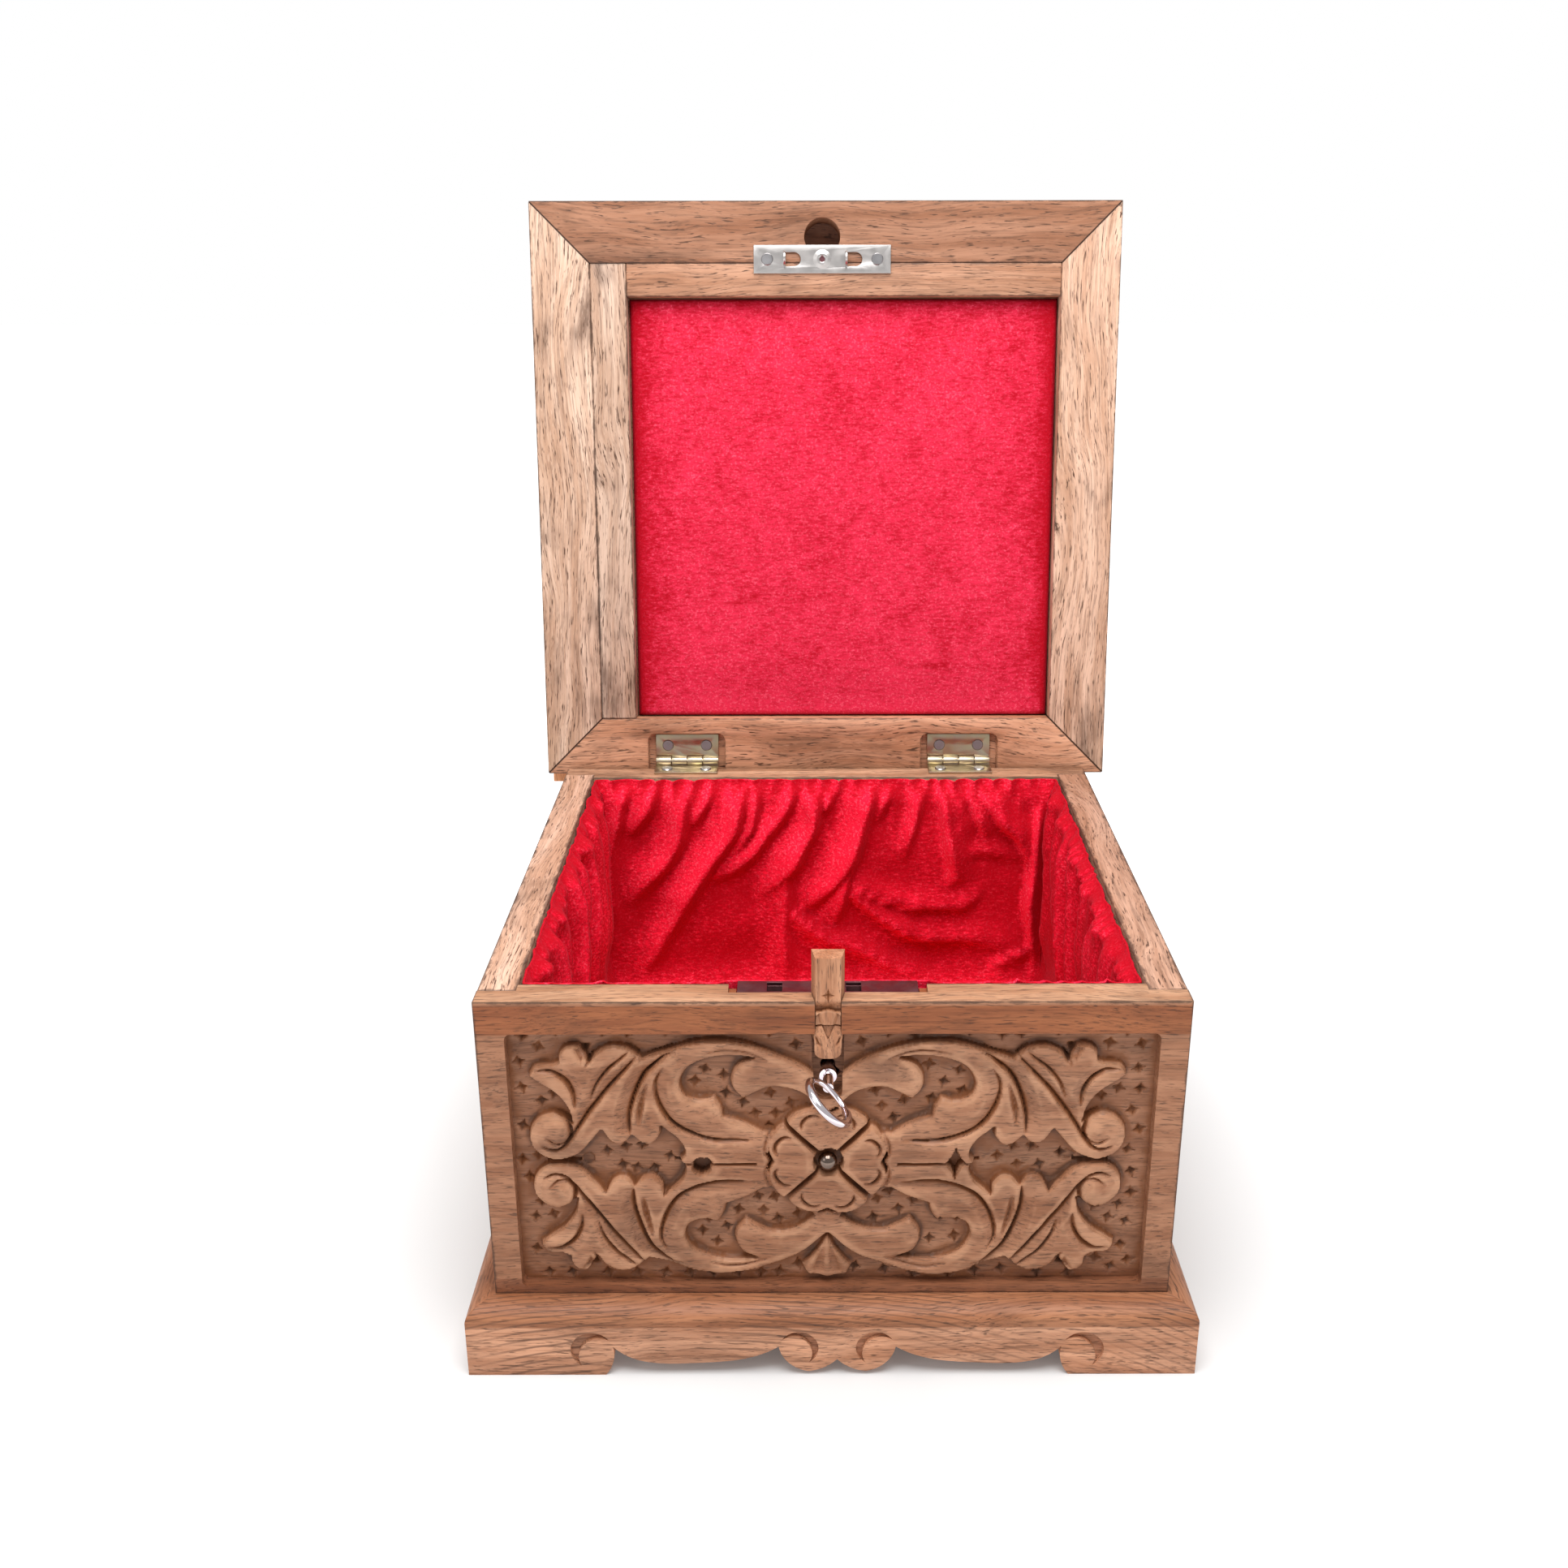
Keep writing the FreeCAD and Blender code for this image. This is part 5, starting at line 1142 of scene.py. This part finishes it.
class PUZZLEBOX_OT_nails(bpy.types.Operator):
    """Set the nail heads of the strike plate and the hinges."""

    bl_idname = "puzzlebox.nails"
    bl_label = "Nails"

    def execute(self, context):
        tree = nail_tree()
        steel = metal_material("Nail Steel", (0.36, 0.35, 0.36), (0.28, 0.27, 0.27), 0.34)
        down = (LID_TURN.to_3x3() @ Vector((0, 0, -1))).normalized()
        for node, body, axis in (("strike_nails", "lid", down), ("hinge_lid_nails", "lid", down),
                                 ("hinge_box_nails", "box", Vector((0, 0, 1)))):
            places = []
            for group in islands(node):
                top = max(v.dot(axis) for v in group)
                head = [v for v in group if top - v.dot(axis) < NAIL_LAYER]
                middle = sum(head, Vector()) / len(head)
                places.append(middle + axis * (top - middle.dot(axis) - NAIL_HEIGHT))
            mesh = grow(node + "_heads", places, axis, tree,
                        {"Head Radius": NAIL_RADIUS, "Head Height": NAIL_HEIGHT, "Material": steel})
            settle(to_object(node + "_heads", mesh), steel, body, "nail_steel", node)
        return {"FINISHED"}


def pad_nap_and_shading(x, y, low, high):
    """Painted light and shade of the pad's pile, 0 dark to 1 lit: mottled nap, painted shade along its
    creases, painted light at the hinges and painted shade at its other edges.
    """
    across, down = (x - low[0]) * MM, (y - low[1]) * MM
    nap_and_shading = 0.60 + 0.09 * ripple(across, down, 11, 33) + 0.10 * ripple(across, down, 3.0, 34)
    for crease in PAD_CREASES:
        away, along, _ = from_line(spline(crease), across, down)
        # Painted shade along each crease.
        nap_and_shading -= 0.22 * np.clip(1 - away / 2.2, 0, 1) * np.sin(math.pi * np.clip(along, 0, 1)) ** 0.5
    sides = np.minimum(x - low[0], high[0] - x) * MM
    # Painted light near the hinges, then painted shade at the other edges.
    nap_and_shading += 0.3 * np.exp(-(high[1] - y) * MM / 9)
    nap_and_shading -= 0.7 * np.exp(-sides / 6) + 0.3 * (sides < 2.6) + 0.3 * np.exp(-np.clip(down, 0, None) / 3)
    return np.clip(nap_and_shading, 0, 1)


def pad_mesh(count=150):
    """The closed pad on the open lid: a stuffed face with rounded edges, and a flat back."""
    low, high = (Vector(v) for v in shut_box("lid_velvet_pad"))
    gx, gy = np.meshgrid(np.linspace(0, 1, count), np.linspace(0, 1, count), indexing="ij")
    closer_x, closer_y = (0.7 * g + 0.3 * (0.5 - 0.5 * np.cos(math.pi * g)) for g in (gx, gy))
    x = low.x + (high.x - low.x) * closer_x
    y = low.y + (high.y - low.y) * closer_y
    edge = np.minimum(np.minimum(x - low.x, high.x - x), np.minimum(y - low.y, high.y - y)) * MM
    thick = (high.z - low.z) * MM
    rise = thick * (0.62 * np.sqrt(1 - np.clip(1 - edge / 2.2, 0, 1) ** 2) + 0.30 * step_up(edge / 22))
    uneven = 0.12 * ripple(x * MM, y * MM, 23, 31) + 0.06 * ripple(x * MM, y * MM, 8, 32)
    rise += uneven * step_up(edge / 4)
    points, faces = relief_mesh(x, y, np.zeros_like(x), 0.0, 0.0)
    size = count * count
    top = np.stack([x.ravel(), y.ravel(), high.z - np.clip(rise, 0.02, thick).ravel() / MM], axis=-1)
    base = np.stack([points[size:, 0], points[size:, 2], np.full(len(points) - size, high.z)], axis=-1)
    mesh = add_mesh("lid_pad_velvet", np.vstack([top, base]).tolist(), faces)
    set_field(mesh, "nap_and_shading", pad_nap_and_shading(x, y, low, high))
    mesh.transform(LID_TURN)
    return mesh


class PUZZLEBOX_OT_pad(bpy.types.Operator):
    """Build the velvet pad of the lid."""

    bl_idname = "puzzlebox.pad"
    bl_label = "Lid Pad"

    def execute(self, context):
        mesh = pad_mesh()
        piece = to_object("lid_pad_velvet", mesh, 60)
        shape = bmesh.new()
        shape.from_mesh(mesh)
        bmesh.ops.recalc_face_normals(shape, faces=shape.faces)
        shape.to_mesh(mesh)
        shape.free()
        velvet = velvet_material("Pad Velvet", (0.38, 0.002, 0.011), (0.66, 0.022, 0.062),
                                 (0.78, 0.085, 0.145))
        settle(piece, velvet, "lid", "velvet", "lid_velvet_pad")
        return {"FINISHED"}


def lining_bag(spacing):
    """Points, faces and the rim's points of an open bag just inside the box; rows are closer near its rim."""
    low, high = BAG_LOW, BAG_HIGH
    count = [max(2, round((high[a] - low[a]) / spacing)) for a in range(2)] + [WALL_ROWS]
    known, points, faces = {}, [], []

    def point(i, j, k):
        if (i, j, k) not in known:
            known[(i, j, k)] = len(points)
            x, y = (low[a] + (high[a] - low[a]) * v / count[a] for a, v in enumerate((i, j)))
            points.append([x, y, high.z - (high.z - low.z) * ((count[2] - k) / count[2]) ** 1.5])
        return known[(i, j, k)]

    nx, ny, nz = count
    for i in range(nx):
        for j in range(ny):
            faces.append([point(i, j, 0), point(i + 1, j, 0), point(i + 1, j + 1, 0), point(i, j + 1, 0)])
    for k in range(nz):
        for i in range(nx):
            faces.append([point(i + 1, 0, k), point(i, 0, k), point(i, 0, k + 1), point(i + 1, 0, k + 1)])
            faces.append([point(i, ny, k), point(i + 1, ny, k), point(i + 1, ny, k + 1), point(i, ny, k + 1)])
        for j in range(ny):
            faces.append([point(0, j, k), point(0, j + 1, k), point(0, j + 1, k + 1), point(0, j, k + 1)])
            faces.append([point(nx, j + 1, k), point(nx, j, k), point(nx, j, k + 1), point(nx, j + 1, k + 1)])
    rim = [n for (i, j, k), n in known.items() if k == nz]
    return np.array(points), faces, rim


def fold_height(across, down, folds):
    """Height of long folds on one wall, in millimetres; each falls off faster on its steep side."""
    height = np.zeros(across.shape)
    for points, half, rise, steep in folds:
        away, along, side = from_line(spline(points), across, down)
        width = half * np.where(side == steep, 0.6, 1.7)
        taper = np.clip((1 - along) / 0.4, 0, 1) ** 0.6 * np.clip(along / 0.08 + 0.6, 0, 1)
        height = np.maximum(height, rise * taper * np.clip(1.1 - np.hypot(away / width, 0.1), 0, 1) ** 1.3)
    return height


def side_folds(seed, count):
    """Long folds of a side wall, leaning at random."""
    chance = np.random.default_rng(seed)
    reach = 84
    folds = []
    for k in range(count):
        start = -reach + 2 * reach * (k + chance.uniform(0.2, 0.8)) / count
        lean = chance.uniform(-9, 9)
        length = chance.uniform(45, 90)
        points = [(start, 0), (start + 0.2 * lean, 0.3 * length), (start + 0.6 * lean, 0.65 * length),
                  (start + lean, length)]
        folds.append((points, chance.uniform(6, 10), chance.uniform(4, 7), chance.choice([-1, 1])))
    return folds


def wall_height(across, down, folds, seed, pucker, puffed):
    """Inward height of one gathered wall: long folds, puckers, and creases or round puffs at the rim."""
    flat = np.zeros(across.shape)
    bent = across + 1.4 * ripple(across, down, 13, seed)
    below = 1 - 0.8 * np.exp(-down / 6)
    height = 1.2 + below * fold_height(bent, down + 1.4 * ripple(across, down, 11, seed + 1), folds)
    phase = (across - 0.12 * down) * 0.8 + 2.6 * ripple(across, flat, 23, seed + 2)
    gather = (0.5 + 0.5 * np.sin(phase)) ** 1.4 * (0.7 + 0.3 * ripple(across, flat, 10, seed + 3))
    height += pucker * gather * (1 - np.exp(-down / 3)) * np.exp(-down / 11)
    crease = 1 - np.abs(np.sin(math.pi * across / 7.4 + 1.7 * ripple(across, flat, 12, seed + 7))) ** 0.6
    crease *= 0.65 + 0.55 * ripple(across, flat, 6, seed + 8)
    height += 1.5 * ripple(across + 0.5 * down, down, 3.9, seed + 4) * np.exp(-down / 4.5)
    height += 0.9 * ripple(across, down, 15, seed + 5) + 0.4 * ripple(across, down, 6, seed + 6)
    rim = np.exp(-(down / 4.5) ** 2)
    if puffed:
        puff = (1 - crease) * (0.8 + 0.5 * ripple(across, flat, 9, seed + 9))
        height = (height - 1.0) * (1 - rim) + 3.6 * puff * np.exp(-((down - 3.6) / 2.8) ** 2) - 1.0 * rim
    else:
        height = height * (1 - rim) + (4.2 * crease - 1.0) * rim
    corner = step_up((HALF_WALL - np.abs(across)) / 9)
    foot = step_up((down - 76) / 15)
    ends = 2.0 - 2.4 * rim
    height = ends + (np.clip(height, 0.4 - 1.4 * np.exp(-down / 8), 11) - ends) * corner
    return height * (1 - foot) + 6 * foot


def gather_wall(points, nap_and_shading, on, across, down, wall):
    """Folds one wall of the bag inward and paints light and shade into its pile; the front wall clears the
    lock.
    """
    axis, end, way, folds, seed = wall
    pucker = settings().velvet.pucker * MM
    height, after, before = (wall_height(across + shift, down, folds, seed, pucker, axis == 0)
                             for shift in (0, 0.9, -0.9))
    if axis == 1 and way == 1:
        middle, half, depth = LOCK_ROOM
        lock = step_up((half - np.abs(across - middle)) / 3)
        height = np.maximum(height, depth * lock)
        points[on, 2] -= LOCK_DROP * lock * np.exp(-down / 5)
    points[on, axis] = end[axis] + way * height / MM
    # Painted light and shade: lighter on fold ridges, on slopes that lean one way and near the rim; the side
    # walls as a whole are darker than the back and front.
    slope = np.clip((after - before) / 1.8, -0.8, 0.7)
    base = 0.12 if axis else -0.25
    nap_and_shading[on] = base + 0.07 * height + 0.6 * slope + 0.25 * np.exp(-down / 5)


def swell_floor(points, place, down):
    """Lays the floor of the bag in low swells that rise to meet the walls."""
    floor = np.abs(down - down.max()) < SAME_PLACE
    x, y = place[floor, 0], place[floor, 1]
    inset = np.minimum(BAG_HIGH.x * MM - np.abs(x), BAG_HIGH.y * MM - np.abs(y))
    swell = 1.5 + 2.2 * np.abs(ripple(x + 0.6 * y, y, 34, 81))
    swell += 0.7 * ripple(x, y, 12, 82)
    points[floor, 2] += (swell + (6 - swell) * step_up((16 - inset) / 16)) / MM


class PUZZLEBOX_OT_lining(bpy.types.Operator):
    """Fold the gathered velvet lining into the box."""

    bl_idname = "puzzlebox.lining"
    bl_label = "Lining"

    def execute(self, context):
        sizes = settings().velvet
        points, faces, rim = lining_bag(sizes.spacing)
        place = points * MM
        down = BAG_HIGH.z * MM - place[:, 2]
        nap_and_shading = np.full(len(points), 0.35)
        walls = ((1, BAG_HIGH, -1, BACK_FOLDS, 40), (1, BAG_LOW, 1, side_folds(3, sizes.folds), 50),
                 (0, BAG_LOW, 1, side_folds(4, sizes.folds), 60),
                 (0, BAG_HIGH, -1, side_folds(5, sizes.folds), 70))
        for wall in walls:
            axis, end = wall[:2]
            on = np.abs(points[:, axis] - end[axis]) < SAME_PLACE
            across = place[on, 1 - axis] * (HALF_WALL / (BAG_HIGH[1 - axis] * MM))
            gather_wall(points, nap_and_shading, on, across, down[on], wall)
        swell_floor(points, place, down)
        edge = np.array(rim)
        points[edge, 2] += 0.0002 * ripple(place[edge, 0] * 1.3, place[edge, 1] * 1.3, 5, 83)
        mesh = add_mesh("lining_velvet", points.tolist(), faces)
        set_field(mesh, "nap_and_shading", np.clip(nap_and_shading, 0, 1))
        cloth = to_object("lining_velvet", mesh, 180)
        thick = cloth.modifiers.new("Thickness", "SOLIDIFY")
        thick.thickness = CLOTH_THICK
        thick.offset = -1
        made = plain_mesh(cloth)
        piece = to_object("lining_velvet", made, 180)
        velvet = velvet_material("Lining Velvet", (0.46, 0.001, 0.010), sizes.colour, (1.0, 0.10, 0.16))
        settle(piece, velvet, "box", "velvet", "lining_front", "lining_back", "lining_left", "lining_right",
               "lining_floor")
        return {"FINISHED"}


def pale_floor():
    """The pale floor, which glows white away from the box."""
    item = to_object("stage_floor", slab((-4, -4, -0.02), (4, 4, 0)))
    pale, tree, shader, place = new_material("Pale Floor")
    far = add_node(tree, "ShaderNodeVectorMath", {0: place}, operation="LENGTH").outputs["Value"]
    glow = ramp(tree, far, 0.10, 0.42, 0.08, 0.95)
    fill(tree, shader, {"Base Color": (0.6, 0.6, 0.6, 1), "Roughness": 0.9, "Specular IOR Level": 0.0,
                        "Emission Color": mixed(tree, glow, (0, 0, 0, 1), (1, 1, 1, 1)),
                        "Emission Strength": 1.0})
    item.data.materials.append(pale)


def studio_sky(brightness):
    """A surround that looks white and lights the box with less."""
    world = bpy.data.worlds.new("Studio")
    world.use_nodes = True
    tree = world.node_tree
    seen = add_node(tree, "ShaderNodeLightPath").outputs["Is Camera Ray"]
    strength = sums(tree, "MULTIPLY_ADD", seen, 1.0 - brightness, brightness)
    fill(tree, tree.nodes["Background"], {0: (1, 1, 1, 1), 1: strength})
    return world


def soft_lamp(name, place, size, power):
    """A square lamp that faces the box."""
    lamp = bpy.data.lights.new(name, "AREA")
    lamp.size = size
    lamp.energy = power
    holder = bpy.data.objects.new(name, lamp)
    holder.location = place
    holder.rotation_euler = (Vector((0, 0, 0.1)) - Vector(place)).to_track_quat("-Z", "Y").to_euler()
    return holder


def photo_camera():
    """A camera at the photograph's place and viewing angle."""
    lens = bpy.data.cameras.new("camera")
    lens.sensor_width = 36
    lens.lens = 37.59
    lens.shift_x = -0.0161
    lens.shift_y = 0.0154
    lens.clip_start = 0.01
    eye = bpy.data.objects.new("camera", lens)
    heading, tilt, roll = (math.radians(a) for a in (-0.02, -20.73, 0.10))
    turn = (Matrix.Rotation(heading, 4, "Z") @ Matrix.Rotation(tilt, 4, "X")
            @ Matrix.Rotation(roll, 4, "Y") @ Matrix.Rotation(math.radians(90), 4, "X"))
    eye.matrix_world = Matrix.Translation((-0.0067, -0.5127, 0.3372)) @ turn
    return eye


class PUZZLEBOX_OT_stage(bpy.types.Operator):
    """Set up the pale floor, the soft light and the camera."""

    bl_idname = "puzzlebox.stage"
    bl_label = "Stage"

    def execute(self, context):
        scene = context.scene
        light = settings().light
        pale_floor()
        scene.world = studio_sky(light.sky)
        top = soft_lamp("top_lamp", (0.0, -0.3, 1.05), 0.7, light.top)
        side = soft_lamp("side_lamp", (-0.9, -0.7, 0.7), 0.5, light.side)
        scene.camera = photo_camera()
        for item in (top, side, scene.camera):
            scene.collection.objects.link(item)
        scene.view_settings.view_transform = "Standard"
        return {"FINISHED"}


class PUZZLEBOX_PT_panel(bpy.types.Panel):
    """Steps and settings of the puzzle box."""

    bl_idname = "PUZZLEBOX_PT_panel"
    bl_label = "Puzzle Box"
    bl_space_type = "VIEW_3D"
    bl_region_type = "UI"
    bl_category = "Puzzle Box"

    def draw(self, context):
        layout = self.layout
        for operator in OPERATORS:
            layout.operator(operator.bl_idname)
        for label in ("carving", "wood", "velvet", "light"):
            part = getattr(settings(), label)
            column = layout.column(align=True)
            for name in part.__annotations__:
                column.prop(part, name)


OPERATORS = (
    PUZZLEBOX_OT_carved_front, PUZZLEBOX_OT_boards, PUZZLEBOX_OT_plinth, PUZZLEBOX_OT_lid, PUZZLEBOX_OT_cover,
    PUZZLEBOX_OT_metalwork, PUZZLEBOX_OT_nails, PUZZLEBOX_OT_pad, PUZZLEBOX_OT_lining, PUZZLEBOX_OT_stage,
)
CLASSES = (CarvingSizes, WoodColours, VelvetSizes, StudioLight, BoxSettings, *OPERATORS, PUZZLEBOX_PT_panel)


def register():
    """Adds the box's classes and its settings."""
    for item in CLASSES:
        bpy.utils.register_class(item)
    bpy.types.Scene.puzzle_box = PointerProperty(type=BoxSettings, name="Puzzle Box",
                                                 description="Settings of the puzzle box")


def unregister():
    """Takes the box's settings and classes away again."""
    del bpy.types.Scene.puzzle_box
    for item in reversed(CLASSES):
        bpy.utils.unregister_class(item)


def main():
    """Builds the box step by step."""
    register()
    bpy.ops.puzzlebox.carved_front()
    bpy.ops.puzzlebox.boards()
    bpy.ops.puzzlebox.plinth()
    bpy.ops.puzzlebox.lid()
    bpy.ops.puzzlebox.cover()
    bpy.ops.puzzlebox.metalwork()
    bpy.ops.puzzlebox.nails()
    bpy.ops.puzzlebox.pad()
    bpy.ops.puzzlebox.lining()
    bpy.ops.puzzlebox.stage()


if __name__ == "__main__":
    main()
